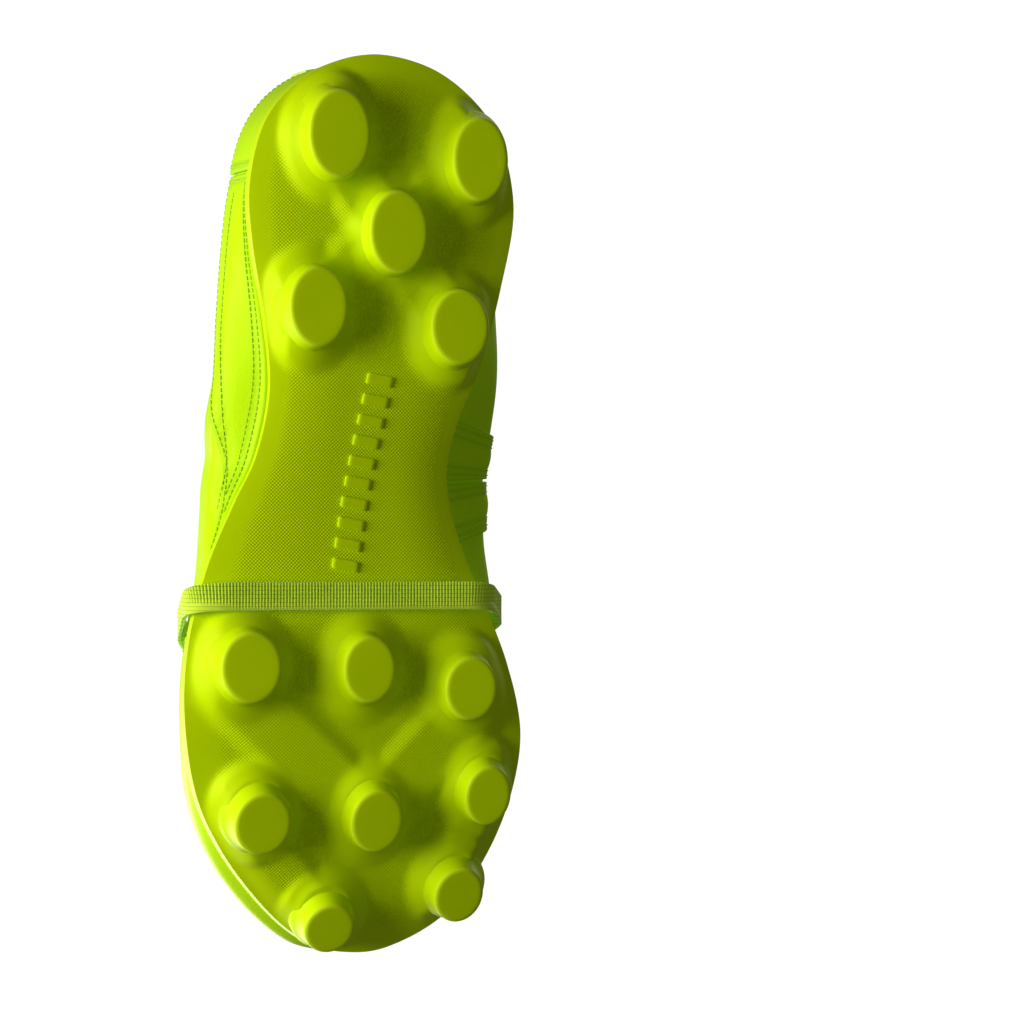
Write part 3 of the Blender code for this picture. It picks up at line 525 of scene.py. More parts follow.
LINING, LEATHER, OVERLAY, FLAP = (0.2, 1.0), (2.6, 4.0), (4.5, 5.6), (6.8, 9.8)
FEATHER_INSET = RIM_WALL + 0.3 + LEATHER[1]
THROAT, SIDE_SEAM = 0.70, 0.62
FACING_TOP, FACING_IN, FACING_WIDE = 0.455, 0.885, 0.20


def side_of(u):
    u = np.mod(u, 2.0)
    return np.where(u <= 1.0, 1.0, -1.0), np.where(u <= 1.0, u, 2.0 - u)


def rib_top(side, share):
    """Upper end of a rib: on the collar's edge, or on the ridge of instep and toe."""
    part = np.clip(share / OPEN_END, 0, 1)
    middle, half_long, half_wide = OPENING
    round_x = MIDLINE_X + side * half_wide * np.maximum(0.0, np.sin(np.pi * part)) ** 0.75
    collar = (round_x, middle + half_long * np.cos(np.pi * part), along(COLLAR_TOP, part))
    run = np.clip((share - OPEN_END) / (POLE - OPEN_END), 0, 1)
    y = middle - half_long + (POLE_Y - middle + half_long) * run
    ridge = (np.full_like(y, MIDLINE_X), y, along(RIDGE_TOP, y))
    return [np.where(share <= OPEN_END, a, b) for a, b in zip(collar, ridge)]


def girth_reach(side, edge_y):
    return np.where(side > 0, along(OVERHANG[1], edge_y), along(OVERHANG[-1], edge_y)) - LEATHER[1]


def shell(u, r, offset):
    """Points on the upper at edge place u and rib height r, offset outwards from the foot."""
    u, r, offset = np.broadcast_arrays(np.asarray(u, dtype=float), r, offset)
    side, share = side_of(u)
    edge, out = edge_frame(u)
    y = edge[..., 1]
    feather = edge - out * FEATHER_INSET
    girth = edge + out * girth_reach(side, y)[..., None]
    low, rim = floor_top(y) + 0.4, rim_top(y) + 0.5
    wide = rim + along(GIRTH_RISE, y)
    s = np.clip((r - R_RIM) / (R_GIRTH - R_RIM), 0, 1)
    plan = feather + (girth - feather) * ease(s)[..., None]
    z = np.where(r <= R_RIM, low + (rim - low) * r / R_RIM, rim + (wide - rim) * s)
    b = np.clip((r - R_GIRTH) / (1 - R_GIRTH), 0, 1)
    top_x, top_y, top_z = rib_top(side, share)
    dome = ease((share - 0.62 * OPEN_END) / (0.38 * OPEN_END))
    slim = 1.15 - 0.27 * ease((share - 0.5) / 0.2)
    across = (1 - dome) * b * b + dome * (1 - np.cos(0.5 * np.pi * b))
    rise = (1 - dome) * b + dome * np.sin(0.5 * np.pi * b) ** slim
    above = (r > R_GIRTH)[..., None]
    top = np.stack([top_x, top_y], axis=-1)
    plan = np.where(above, girth + (top - girth) * across[..., None], plan)
    z = np.where(r > R_GIRTH, wide + (top_z - wide) * rise, z)
    lean = 0.5 * np.pi * dome * b
    plan = plan + out * (offset * np.cos(lean))[..., None]
    return np.concatenate([plan, (z + offset * np.sin(lean))[..., None]], axis=-1)


def share_at(side, y):
    """Share from heel to toe at which one side of the sole's edge passes a given y."""
    low, high = 0.0, 1.0
    for _ in range(40):
        mid = 0.5 * (low + high)
        inside = edge_at(mid if side > 0 else 2.0 - mid)[1] > y
        low, high = (mid, high) if inside else (low, mid)
    return low


def leather_group():
    """Fine pebble of milled leather with soft creases in it."""
    group, given, result = shader_group("leather_grain", [("Pebble", 1500.0), ("Crease", 55.0)],
                                        ["Height", "Shade"])
    place = put(group, "ShaderNodeTexCoord").outputs["Object"]
    cells = put(group, "ShaderNodeTexVoronoi", {"Vector": place, "Scale": given.outputs["Pebble"]},
                feature="SMOOTH_F1")
    crease = put(group, "ShaderNodeTexNoise",
                 {"Vector": place, "Scale": given.outputs["Crease"], "Detail": 4.0,
                  "Distortion": 0.6})
    height = sum_of(group, sum_of(group, cells.outputs["Distance"], 0.35, "MULTIPLY"),
                    crease.outputs["Fac"])
    group.links.new(height, result.inputs["Height"])
    group.links.new(crease.outputs["Fac"], result.inputs["Shade"])
    return group


LEATHER_GRAIN = leather_group()


def leather_finish():
    material, tree, shader = finish("upper_leather", 0.4, (0.40, 0.80, 0.0), 0.06)
    grain = group_node(tree, LEATHER_GRAIN, Pebble=1500.0, Crease=45.0)
    mottle = group_node(tree, MOTTLE, Size=18.0, Speck=1200.0)
    colour = blend_colour(tree, mottle.outputs["Shade"], (0.50, 0.82, 0.0), (0.60, 0.93, 0.0))
    cut = put(tree, "ShaderNodeMapRange",
              {"Value": attribute(tree, "gap"), "From Min": 0.15, "From Max": 1.1, "To Min": 0.55,
               "To Max": 0.0}).outputs[0]
    colour = blend_colour(tree, cut, colour, (0.20, 0.36, 0.0))
    # Along stitched rows, where the leather is sunk, the colour is darkened: painted shade in the
    # stitch channels.
    sunk = sum_of(tree, attribute(tree, "sunk"), 0.45, "MULTIPLY")
    colour = blend_colour(tree, sunk, colour, (0.22, 0.42, 0.0))
    tree.links.new(colour, shader.inputs["Base Color"])
    rough = sum_of(tree, sum_of(tree, grain.outputs["Shade"], 0.22, "MULTIPLY"), 0.3)
    tree.links.new(sum_of(tree, rough, sum_of(tree, cut, 0.5, "MULTIPLY")),
                   shader.inputs["Roughness"])
    bump = put(tree, "ShaderNodeBump",
               {"Height": grain.outputs["Height"], "Distance": 0.00035, "Strength": 0.35})
    tree.links.new(bump.outputs["Normal"], shader.inputs["Normal"])
    return material


LEATHER_SKIN = leather_finish()
CUT_STEPS = np.array((0.0, 0.1, 0.25, 0.45, 0.7, 1.0))   # millimetres in from a cut edge


def row_gap(points, rows):
    """Distance in millimetres from each point to the nearest stitched row."""
    flat, line = points.reshape(-1, 3), np.concatenate([row[0] for row in rows])
    near = np.empty(len(flat))
    for k in range(0, len(flat), 3000):
        gap = flat[k:k + 3000, None] - line[None]
        near[k:k + 3000] = np.sqrt((gap ** 2).sum(-1).min(1))
    return near.reshape(points.shape[:-1])


def closed_sheet(name, top, under, gap, sunk=None, crest=None):
    """Closed piece between two lattices of points; crest marks columns that meet on the ridge."""
    n, m = top.shape[:2]
    faces = lattice(n, m)
    quads = [faces, faces[:, ::-1] + n * m]
    index = np.arange(n * m).reshape(n, m)
    rims = [index[:, 0], index[0, :], index[-1, :]]
    for rim in rims:
        quads.append(np.stack([rim[:-1], rim[1:], rim[1:] + n * m, rim[:-1] + n * m], axis=-1))
    rim = index[:, -1]
    edge = np.stack([rim[:-1], rim[1:], rim[1:] + n * m, rim[:-1] + n * m], axis=-1)
    if crest is not None:
        edge = edge[~(crest[:-1] & crest[1:])]
    quads.append(edge)
    sunk = np.zeros((n, m)) if sunk is None else sunk
    marks = {"gap": np.concatenate([gap.ravel(), np.zeros(n * m)]),
             "sunk": np.concatenate([sunk.ravel(), np.zeros(n * m)])}
    points = np.concatenate([top.reshape(-1, 3), under.reshape(-1, 3)])
    return joined(name, points, np.concatenate(quads), marks, 55.0)


def leather_panel(name, u0, u1, low, high, layer, rows=(), crest=None, cell=1.7, puff=0.0):
    """Leather piece between edge places u0 and u1, with rounded cut edges and sunk stitching."""
    steps = CUT_STEPS / SIDE_LENGTH
    middle = np.linspace(u0 + steps[-1], u1 - steps[-1],
                         max(4, int((u1 - u0) * SIDE_LENGTH / cell) // 2 * 2 + 1))
    us = np.concatenate([u0 + steps[:-1], middle, (u1 - steps[:-1])[::-1]])
    if crest is not None:
        us = np.unique(np.concatenate([us, (crest - 0.0005, crest, 2 - crest, 2.0005 - crest)]))
    share = side_of(us)[1]
    lows, highs = low(share) + 0 * us, high(share) + 0 * us

    def pace(r):
        return np.linalg.norm(shell(us, r + 0.004, 4.0) - shell(us, r - 0.004, 4.0), axis=-1) / 0.008

    pace_low, pace_high = np.maximum(pace(lows), 20.0), np.maximum(pace(highs - 0.004), 20.0)
    low_steps, high_steps = CUT_STEPS / pace_low[:, None], CUT_STEPS / pace_high[:, None]
    fixed = np.linspace(lows.min(), highs.max(), int((highs - lows).max() * 118 / cell))
    inside = np.clip(fixed[None, :], (lows + low_steps[:, -1])[:, None],
                     (highs - high_steps[:, -1])[:, None])
    r = np.concatenate([lows[:, None] + low_steps[:, :-1], inside,
                        (highs[:, None] - high_steps[:, :-1])[:, ::-1]], axis=1)
    gap_high = (highs[:, None] - r) * pace_high[:, None]
    meets = None
    if crest is not None:
        meets = share >= crest - 1e-9
        gap_high[meets] = 99.0
    gap = np.minimum((r - lows[:, None]) * pace_low[:, None], gap_high)
    gap = np.minimum(gap, (np.minimum(us - u0, u1 - us) * SIDE_LENGTH)[:, None])
    thick = layer[1] - layer[0]
    bend = np.clip(1 - gap / CUT_STEPS[-1], 0, 1)
    outer = layer[1] - 0.75 * thick * (1 - np.sqrt(1 - bend ** 2))
    sunk = np.zeros_like(outer)
    if rows:
        near = row_gap(shell(us[:, None], r, outer), rows)
        # Sunk rows; the leather also paints them darker, as painted shade in the channels.
        sunk = np.exp(-(near / 1.0) ** 2)
        outer = outer - 0.32 * thick * sunk
        outer = outer + puff * (1 - np.exp(-(np.minimum(near, gap) / 5.0) ** 2))
    return closed_sheet(name, shell(us[:, None], r, outer), shell(us[:, None], r, layer[0]),
                        gap, sunk, meets)


def row_on(us, rs, offset):
    """Line for a row of stitches on the upper, and the outward direction along it."""
    base = shell(us, rs, offset)
    return base, shell(us, rs, offset + 1.0) - base


def stitch_tree():
    """Lock stitches laid end to end along a line, each a short slightly sunk capsule."""
    tree, given, result = nodes_tree("stitch_row", [("Spacing", "Float"), ("Length", "Float"),
                                                    ("Thread", "Float"), ("Material", "Material")])
    line = put(tree, "GeometryNodeMeshToCurve", {"Mesh": given.outputs["Geometry"]})
    evenly = put(tree, "GeometryNodeResampleCurve",
                 {"Curve": line.outputs[0], "Length": given.outputs["Spacing"]}, mode="LENGTH")
    outward = put(tree, "GeometryNodeInputNamedAttribute", {"Name": "outward"},
                  data_type="FLOAT_VECTOR")
    ahead = put(tree, "FunctionNodeAlignRotationToVector",
                {"Vector": put(tree, "GeometryNodeInputTangent").outputs[0]}, axis="X")
    upright = put(tree, "FunctionNodeAlignRotationToVector",
                  {"Rotation": ahead.outputs[0], "Vector": outward.outputs["Attribute"]},
                  axis="Z", pivot_axis="X")
    bead = put(tree, "GeometryNodeMeshUVSphere", {"Segments": 6, "Rings": 5, "Radius": 0.5})
    size = put(tree, "ShaderNodeCombineXYZ", {"X": given.outputs["Length"],
                                              "Y": given.outputs["Thread"],
                                              "Z": given.outputs["Thread"]})
    stitches = put(tree, "GeometryNodeInstanceOnPoints",
                   {"Points": evenly.outputs[0], "Instance": bead.outputs["Mesh"],
                    "Rotation": upright.outputs[0], "Scale": size.outputs[0]})
    finish_tree(tree, given, result, stitches.outputs[0])
    return tree


STITCH_ROW = stitch_tree()


def thread_finish():
    material, tree, shader = finish("thread", 0.55, (0.40, 0.72, 0.0), 0.05, 0.0, 0.3)
    mottle = group_node(tree, MOTTLE, Size=400.0, Speck=5000.0)
    colour = blend_colour(tree, mottle.outputs["Shade"], (0.30, 0.50, 0.0), (0.50, 0.80, 0.0))
    tree.links.new(colour, shader.inputs["Base Color"])
    bump = put(tree, "ShaderNodeBump", {"Height": mottle.outputs["Grit"], "Distance": 0.0001,
                                        "Strength": 0.5})
    tree.links.new(bump.outputs["Normal"], shader.inputs["Normal"])
    return material


THREAD = thread_finish()


def guide_lines(name, rows):
    """Edges along several lines, with the outward direction stored on their points."""
    points = np.concatenate([row[0] for row in rows])
    outward = np.concatenate([row[1] for row in rows])
    edges, start = [], 0
    for row in rows:
        edges += [(start + k, start + k + 1) for k in range(len(row[0]) - 1)]
        start += len(row[0])
    piece = empty_piece(name)
    piece.data.from_pydata((points * MM).tolist(), edges, [])
    layer = piece.data.attributes.new("outward", "FLOAT_VECTOR", "POINT")
    layer.data.foreach_set("vector", outward.ravel())
    return piece


def stitched(name, rows, body="shoe", spacing=2.1, length=1.75, thread=0.5):
    """Rows of stitches as one piece."""
    piece = grown(guide_lines(name, rows), STITCH_ROW,
                  {"Spacing": spacing * MM, "Length": length * MM, "Thread": thread * MM,
                   "Material": THREAD})
    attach(piece, body)
    return piece


def dressed(piece, node, skin, slot, body="shoe"):
    """Gives a piece its material and body, and lets it stand for a CAD node."""
    if not piece.data.materials:
        piece.data.materials.append(skin)
    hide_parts(node)
    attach(piece, body)
    return piece


def flat(value):
    return lambda share: np.full_like(share, value)


# ---------------------------------------------------------------- upper: vamp and quarters
# The vamp wraps the toe from one side seam to the other. Two quarters meet at the heel and
# reach up under the padded collar and the eyestays. All are lasted and tucked into the sole.
def facing_inner(share):
    return 1.0 - (1.0 - FACING_IN) * ease((share - FACING_TOP) / (OPEN_END - FACING_TOP))


def facing_outer(share):
    return facing_inner(share) - FACING_WIDE


def quarter_top(share):
    under_eyestay = np.clip(facing_outer(share) + 0.05, 0.74, 0.855)
    return np.where(share < FACING_TOP, 0.855, under_eyestay)


def vamp_top(share):
    return np.where(share < THROAT - 0.0001, quarter_top(share), 1.0)


def girth_row(u0, u1, r, offset, count=160):
    us = np.linspace(u0, u1, count)
    return row_on(us, np.full_like(us, r), offset)


seam_rows = [row_on(np.full(60, u), np.linspace(R_RIM + 0.02, 0.72, 60), LEATHER[1] - 0.05)
             for u in (SIDE_SEAM + 0.008, SIDE_SEAM + 0.016, 2 - SIDE_SEAM - 0.008,
                       2 - SIDE_SEAM - 0.016)]
vamp = leather_panel("vamp_leather", SIDE_SEAM + 0.001, 2 - SIDE_SEAM - 0.001, flat(0.03), vamp_top,
                     LEATHER, seam_rows, THROAT, 1.9)
dressed(vamp, "vamp", LEATHER_SKIN, "upper_leather")
stitched("side_seam_stitches", seam_rows)

rim_row = {side: girth_row(*places, R_RIM + 0.035, LEATHER[1] - 0.05)
           for side, places in (("lateral", (0.02, SIDE_SEAM - 0.01)),
                                ("medial", (2 - SIDE_SEAM + 0.01, 1.98)))}
for side, places in (("lateral", (0.001, SIDE_SEAM - 0.001)),
                     ("medial", (2 - SIDE_SEAM + 0.001, 1.999))):
    piece = leather_panel(f"quarter_leather_{side}", *places, flat(0.03), quarter_top, LEATHER,
                          [rim_row[side]], None, 1.9)
    dressed(piece, f"quarter_{side}", LEATHER_SKIN, "upper_leather")

# ---------------------------------------------------------------- upper: overlays
# Leather pieces glued and stitched on the outside: a heel cover, one long panel on the outer
# side and two short ones on the inner side, whose seams are sewn twice.
ABOVE_RIM = R_RIM + 0.03
LATERAL_PANEL = (0.185, share_at(1, -16.0))
MEDIAL_PANELS = tuple(share_at(-1, y) for y in (30.0, 8.6, 7.4, -13.0))


def lateral_top(share):
    back, front = LATERAL_PANEL
    return 0.62 - 0.42 * ease((share - back) / (front - back))


def heel_top(share):
    return 0.835 - 1.2 * share * share


def row_between(start, end, low, high, offset, count=200):
    """Row on the upper from one (u, r) to another, eased so that it sweeps."""
    t = np.linspace(0, 1, count)
    return row_on(start + (end - start) * t, low + (high - low) * ease(t), offset)


surface = OVERLAY[1] - 0.05
back, front = LATERAL_PANEL[0] - 0.0075, LATERAL_PANEL[1]
panel_us = np.linspace(back + 0.006, front - 0.008, 200)
inner_us = np.linspace(back + 0.02, front - 0.045, 200)
panel_rows = [row_on(panel_us, lateral_top(panel_us) - 0.022, surface),
              row_on(np.full(60, back + 0.006), np.linspace(0.19, 0.58, 60), surface),
              row_between(back + 0.012, front - 0.045, 0.172, 0.180, surface),
              row_between(back + 0.012, front - 0.060, 0.194, 0.202, surface),
              row_on(inner_us, 0.44 * lateral_top(inner_us) + 0.125, surface)]
side_panel = leather_panel("side_leather_lateral", back, front, flat(ABOVE_RIM), lateral_top,
                           OVERLAY, panel_rows, None, 1.7, 0.5)
dressed(side_panel, "side_panel_lateral", LEATHER_SKIN, "upper_leather")
stitched("side_stitches_lateral", panel_rows)

for name, (start, end) in (("rear", MEDIAL_PANELS[:2]), ("front", MEDIAL_PANELS[2:])):
    u0, u1 = 2.0 - end, 2.0 - start
    rs = np.linspace(0.175, 0.635, 90)
    rows = [row_on(np.full(90, u), rs, surface)
            for u in (u0 + 0.0065, u0 + 0.0145, u1 - 0.0065, u1 - 0.0145)]
    us = np.linspace(u0 + 0.0065, u1 - 0.0065, 40)
    rows.append(row_on(us, np.full(40, 0.64), surface))
    piece = leather_panel(f"side_leather_medial_{name}", u0, u1, flat(ABOVE_RIM), flat(0.66),
                          OVERLAY, rows, None, 1.5, 0.6)
    dressed(piece, f"side_panel_medial_{name}", LEATHER_SKIN, "upper_leather")
    stitched(f"side_stitches_medial_{name}", rows)

heel_us = np.linspace(-0.167, 0.167, 160)
heel_rows = [row_on(heel_us, heel_top(np.abs(heel_us)) - inset, surface)
             for inset in (0.020, 0.042)]
heel_rows += [row_on(np.full(80, u), np.linspace(0.2, 0.78, 80), surface)
              for u in (-0.168, 0.168, -0.006, 0.006)]
heel = leather_panel("heel_leather", -0.175, 0.175, flat(ABOVE_RIM),
                     lambda share: heel_top(share), OVERLAY, heel_rows, None, 1.7, 0.2)
dressed(heel, "heel_cover", LEATHER_SKIN, "upper_leather")
stitched("heel_stitches", heel_rows)

# ---------------------------------------------------------------- upper: eyestays
# Facings of leather run along both sides of the tongue, sewn round their edge. Each has five
# punched lace holes; the shoe has no lace in it.
HOLE_RADIUS, HOLE_COUNT = 2.2, 5
hole_shares = np.linspace(OPEN_END + 0.012, THROAT - 0.035, HOLE_COUNT)


def punched(piece, us):
    """Cuts round holes through a facing at the edge places us."""
    bm = bmesh.new()
    for u in us:
        low, high = (Vector(shell(u, FACING_IN - 0.06, d)) * MM for d in (1.0, 9.0))
        turn = (high - low).to_track_quat("Z", "Y").to_matrix().to_4x4()
        turn.translation = (low + high) / 2
        bmesh.ops.create_cone(bm, cap_ends=True, segments=28, radius1=HOLE_RADIUS * MM,
                              radius2=HOLE_RADIUS * MM, depth=(high - low).length, matrix=turn)
    punch = empty_piece("punch")
    bm.to_mesh(punch.data)
    bm.free()
    cut = piece.modifiers.new("holes", "BOOLEAN")
    cut.operation = "DIFFERENCE"
    cut.object = punch
    depsgraph = bpy.context.evaluated_depsgraph_get()
    mesh = bpy.data.meshes.new_from_object(piece.evaluated_get(depsgraph), depsgraph=depsgraph)
    piece.modifiers.remove(cut)
    piece.data = mesh
    bpy.data.objects.remove(punch)
    return piece


for side, flip in (("lateral", False), ("medial", True)):
    places = (FACING_TOP, THROAT - 0.005)
    if flip:
        places = (2 - places[1], 2 - places[0])
    us = np.linspace(places[0] + 0.006, places[1] - 0.006, 180)
    shares = side_of(us)[1]
    rows = [row_on(us, facing_outer(shares) + 0.022, surface),
            row_on(us, facing_outer(shares) + 0.046, surface),
            row_on(us, facing_inner(shares) - 0.020, surface)]
    u_front = places[0] + 0.007 if flip else places[1] - 0.007
    rows.append(row_on(np.full(40, u_front), np.linspace(0.71, 0.86, 40), surface))
    piece = leather_panel(f"eyestay_leather_{side}", *places, facing_outer, facing_inner, OVERLAY,
                          rows, None, 1.4, 0.15)
    piece = punched(piece, 2 - hole_shares if flip else hole_shares)
    dressed(piece, f"eyestay_{side}", LEATHER_SKIN, "upper_leather")
    stitched(f"eyestay_stitches_{side}", rows)

# ---------------------------------------------------------------- lining
# A soft knitted lining is glued inside the leather all round, from the insole to the collar.
def weave_group():
    """Two crossing sets of fine threads."""
    group, given, result = shader_group("weave", [("Threads", 5200.0)], ["Height"])
    place = put(group, "ShaderNodeTexCoord").outputs["Object"]
    axes = put(group, "ShaderNodeSeparateXYZ", {0: place})
    upward = sum_of(group, axes.outputs["X"], axes.outputs["Z"])
    sides = []
    for lane in (sum_of(group, upward, axes.outputs["Y"]),
                 sum_of(group, upward, axes.outputs["Y"], "SUBTRACT")):
        wave = put(group, "ShaderNodeMath",
                   {0: sum_of(group, lane, given.outputs["Threads"], "MULTIPLY")},
                   operation="SINE").outputs[0]
        sides.append(wave)
    group.links.new(sum_of(group, sum_of(group, sides[0], sides[1], "MAXIMUM"), 0.5, "MULTIPLY"),
                    result.inputs["Height"])
    return group


WEAVE = weave_group()


def cloth_finish(name, dark, light, threads, depth=0.0003):
    material, tree, shader = finish(name, 0.85, light, 0.04, 0.0, 0.35)
    weave = group_node(tree, WEAVE, Threads=threads).outputs["Height"]
    mottle = group_node(tree, MOTTLE, Size=35.0, Speck=2500.0)
    amount = sum_of(tree, sum_of(tree, weave, 0.5, "MULTIPLY"), mottle.outputs["Grit"])
    tree.links.new(blend_colour(tree, amount, dark, light), shader.inputs["Base Color"])
    rough = sum_of(tree, sum_of(tree, mottle.outputs["Shade"], 0.15, "MULTIPLY"), 0.75)
    tree.links.new(rough, shader.inputs["Roughness"])
    bump = put(tree, "ShaderNodeBump", {"Height": weave, "Distance": depth, "Strength": 0.8})
    tree.links.new(bump.outputs["Normal"], shader.inputs["Normal"])
    return material


LINING_CLOTH = cloth_finish("lining_cloth", (0.26, 0.44, 0.0), (0.42, 0.70, 0.01), 4200.0)
for side, places in (("lateral", (0.001, SIDE_SEAM - 0.001)),
                     ("medial", (2 - SIDE_SEAM + 0.001, 1.999))):
    piece = leather_panel(f"quarter_cloth_{side}", *places, flat(0.03), quarter_top, LINING,
                          (), None, 2.6)
    dressed(piece, f"quarter_lining_{side}", LINING_CLOTH, "lining_fabric")
piece = leather_panel("vamp_cloth", SIDE_SEAM + 0.001, 2 - SIDE_SEAM - 0.001, flat(0.03), vamp_top,
                      LINING, (), THROAT, 2.6)
dressed(piece, "vamp_lining", LINING_CLOTH, "lining_fabric")

# ---------------------------------------------------------------- stiffeners and inner sole
# Hidden inside the shoe: thermoplastic toe puff and heel counter, foam wedge, fibre board and
# a steel spring plate. They keep their plain shapes and are only finished here.
def plain_finish(name, dark, light, roughness, speck, metallic=0.0):
    material, tree, shader = finish(name, roughness)
    shader.inputs["Metallic"].default_value = metallic
    mottle = group_node(tree, MOTTLE, Size=60.0, Speck=speck)
    amount = sum_of(tree, mottle.outputs["Grit"], mottle.outputs["Shade"], "MULTIPLY")
    tree.links.new(blend_colour(tree, amount, dark, light), shader.inputs["Base Color"])
    rough = sum_of(tree, sum_of(tree, mottle.outputs["Grit"], 0.2, "MULTIPLY"), roughness - 0.1)
    tree.links.new(rough, shader.inputs["Roughness"])
    bump = put(tree, "ShaderNodeBump", {"Height": mottle.outputs["Grit"], "Distance": 0.0002,
                                        "Strength": 0.5})
    tree.links.new(bump.outputs["Normal"], shader.inputs["Normal"])
    return material


HIDDEN = {"midsole": plain_finish("midsole_foam", (0.55, 0.58, 0.5), (0.85, 0.87, 0.8), 0.9, 1500),
          "insole_board": plain_finish("fibre_board", (0.3, 0.24, 0.16), (0.6, 0.5, 0.36), 0.9, 900),
          "toe_puff": plain_finish("toe_stiffener", (0.6, 0.6, 0.55), (0.85, 0.85, 0.8), 0.7, 1200),
          "heel_counter": plain_finish("heel_stiffener", (0.6, 0.6, 0.55), (0.85, 0.85, 0.8), 0.7,
                                       1200),
          "shank": plain_finish("spring_steel", (0.35, 0.35, 0.37), (0.62, 0.62, 0.64), 0.4, 700,
                                1.0)}
for node, skin in HIDDEN.items():
    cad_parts[node].data.materials.clear()
    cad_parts[node].data.materials.append(skin)

# ---------------------------------------------------------------- sockliner
# A loose footbed of foam under a knitted cover lies on the board. Its edge is rounded,
# and its heel end lifts about the toe.
BOARD_RISE, BOARD_THICK, SOCK_THICK, GAP = 1.9, 1.4, 3.4, 0.3


def wedge(y):
    return along([(-153, 2.4), (-60, 2.6), (60, 6.5), (153, 6.8)], y)


def footbed(ribs=260):
    u = np.arange(ribs) * 2 / ribs
    edge, out = edge_frame(u)
    spine = spine_at(u)
    rim = edge - out * (FEATHER_INSET + 2.4)
    rings, gap = [], []
    for f, down in ((0.0, 1.0), (0.5, 1.0), (0.985, 1.0), (1.0, 0.8), (1.0, 0.35), (0.993, 0.12),
                    (0.975, 0.02), (0.94, 0.0), (0.85, 0.0), (0.7, 0.0), (0.5, 0.0), (0.25, 0.0),
                    (0.0, 0.0)):
        plan = spine + (rim - spine) * f
        low = floor_top(plan[:, 1]) + 2 * GAP + wedge(plan[:, 1]) + BOARD_RISE + BOARD_THICK
        rings.append(np.column_stack([plan, low + SOCK_THICK * (1 - down)]))
    return joined("footbed_pad", rings, lattice(len(rings), ribs, closed=True), None, 50.0)


SOCK_CLOTH = cloth_finish("sock_cloth", (0.30, 0.50, 0.0), (0.46, 0.74, 0.01), 3000.0)
sock = dressed(footbed(), "sockliner", SOCK_CLOTH, "lining_fabric", "footbed")

# ---------------------------------------------------------------- padded collar
# Foam rolled in soft leather runs round the ankle from one eyestay to the other. It is blown
# up from a thinner roll as the foam would fill it, and sewn down along one channel.
COLLAR_LOW = 0.865


def smooth_rings(rings, parts):
    """More rings between given ones, on smooth curves through them."""
    rings = np.asarray(rings, dtype=float)
    padded = np.concatenate([2 * rings[:1] - rings[1:2], rings, 2 * rings[-1:] - rings[-2:-1]])
    p0, p1, p2, p3 = padded[:-3], padded[1:-2], padded[2:-1], padded[3:]
    made = []
    for k in range(len(p1)):
        for t in np.arange(parts) / parts:
            made.append(0.5 * (2 * p1[k] + (p2[k] - p0[k]) * t
                               + (2 * p0[k] - 5 * p1[k] + 4 * p2[k] - p3[k]) * t * t
                               + (3 * p1[k] - p0[k] - 3 * p2[k] + p3[k]) * t ** 3))
    made.append(rings[-1])
    return np.array(made)


def capped(rings):
    """Closes a row of rings with a middle point at each end."""
    ends = [np.broadcast_to(ring.mean(axis=0), ring.shape) for ring in (rings[0], rings[-1])]
    half = [0.5 * (a + b) for a, b in zip(ends, (rings[0], rings[-1]))]
    return np.concatenate([ends[:1], half[:1], rings, half[1:], ends[1:]])


def settled(piece, name):
    """The piece's mesh with its modifiers applied."""
    depsgraph = bpy.context.evaluated_depsgraph_get()
    mesh = bpy.data.meshes.new_from_object(piece.evaluated_get(depsgraph), depsgraph=depsgraph)
    piece.modifiers.clear()
    piece.data = mesh
    mesh.name = name
    return piece


CLOTH_STEPS = 20   # frames of simulation before the shape is taken


def blown_up(piece, cell, most, pressure=4.0):
    """Fills a padded piece: cloth under pressure, held to a largest motion, then smoothed."""
    remesh = piece.modifiers.new("even_mesh", "REMESH")
    remesh.mode = "VOXEL"
    remesh.voxel_size = cell * MM
    even = piece.modifiers.new("even_edges", "SMOOTH")
    even.factor, even.iterations = 0.5, 4
    settled(piece, piece.name)
    start = np.empty(len(piece.data.vertices) * 3)
    piece.data.vertices.foreach_get("co", start)
    cloth = piece.modifiers.new("foam", "CLOTH")
    cloth.settings.use_pressure = True
    cloth.settings.uniform_pressure_force = pressure
    cloth.settings.effector_weights.gravity = 0.0
    cloth.point_cache.frame_start = 1
    cloth.point_cache.frame_end = CLOTH_STEPS
    for step in range(1, CLOTH_STEPS + 1):
        bpy.context.scene.frame_set(step)
    depsgraph = bpy.context.evaluated_depsgraph_get()
    puffed = np.empty_like(start)
    piece.evaluated_get(depsgraph).to_mesh().vertices.foreach_get("co", puffed)
    piece.evaluated_get(depsgraph).to_mesh_clear()
    piece.modifiers.clear()
    bpy.context.scene.frame_set(1)
    move = (puffed - start).reshape(-1, 3)
    length = np.maximum(np.linalg.norm(move, axis=1, keepdims=True), 1e-9)
    move *= np.minimum(1.0, most * MM / length)
    piece.data.vertices.foreach_set("co", (start.reshape(-1, 3) + move).ravel())
    finer = piece.modifiers.new("finer", "SUBSURF")
    finer.levels = finer.render_levels = 1
    settled(piece, piece.name)
    piece.data.shade_smooth()
    return piece


def collar_roll():
    us = np.linspace(-FACING_TOP + 0.010, FACING_TOP - 0.010, 150)
    angle = np.arange(24) * 2 * np.pi / 24
    r = 0.5 * (1.0 + COLLAR_LOW) + 0.46 * (1.0 - COLLAR_LOW) * np.cos(angle)
    taper = np.minimum(1.0, 0.55 + 0.45 * (FACING_TOP - np.abs(us)) / 0.03)
    rings = shell(us[:, None], r[None, :], 0.2 + 3.6 * np.sin(angle)[None, :] * taper[:, None])
    rings = capped(rings)
    return joined("collar_roll", rings, lattice(len(rings), 24, closed=True), None, 80.0)


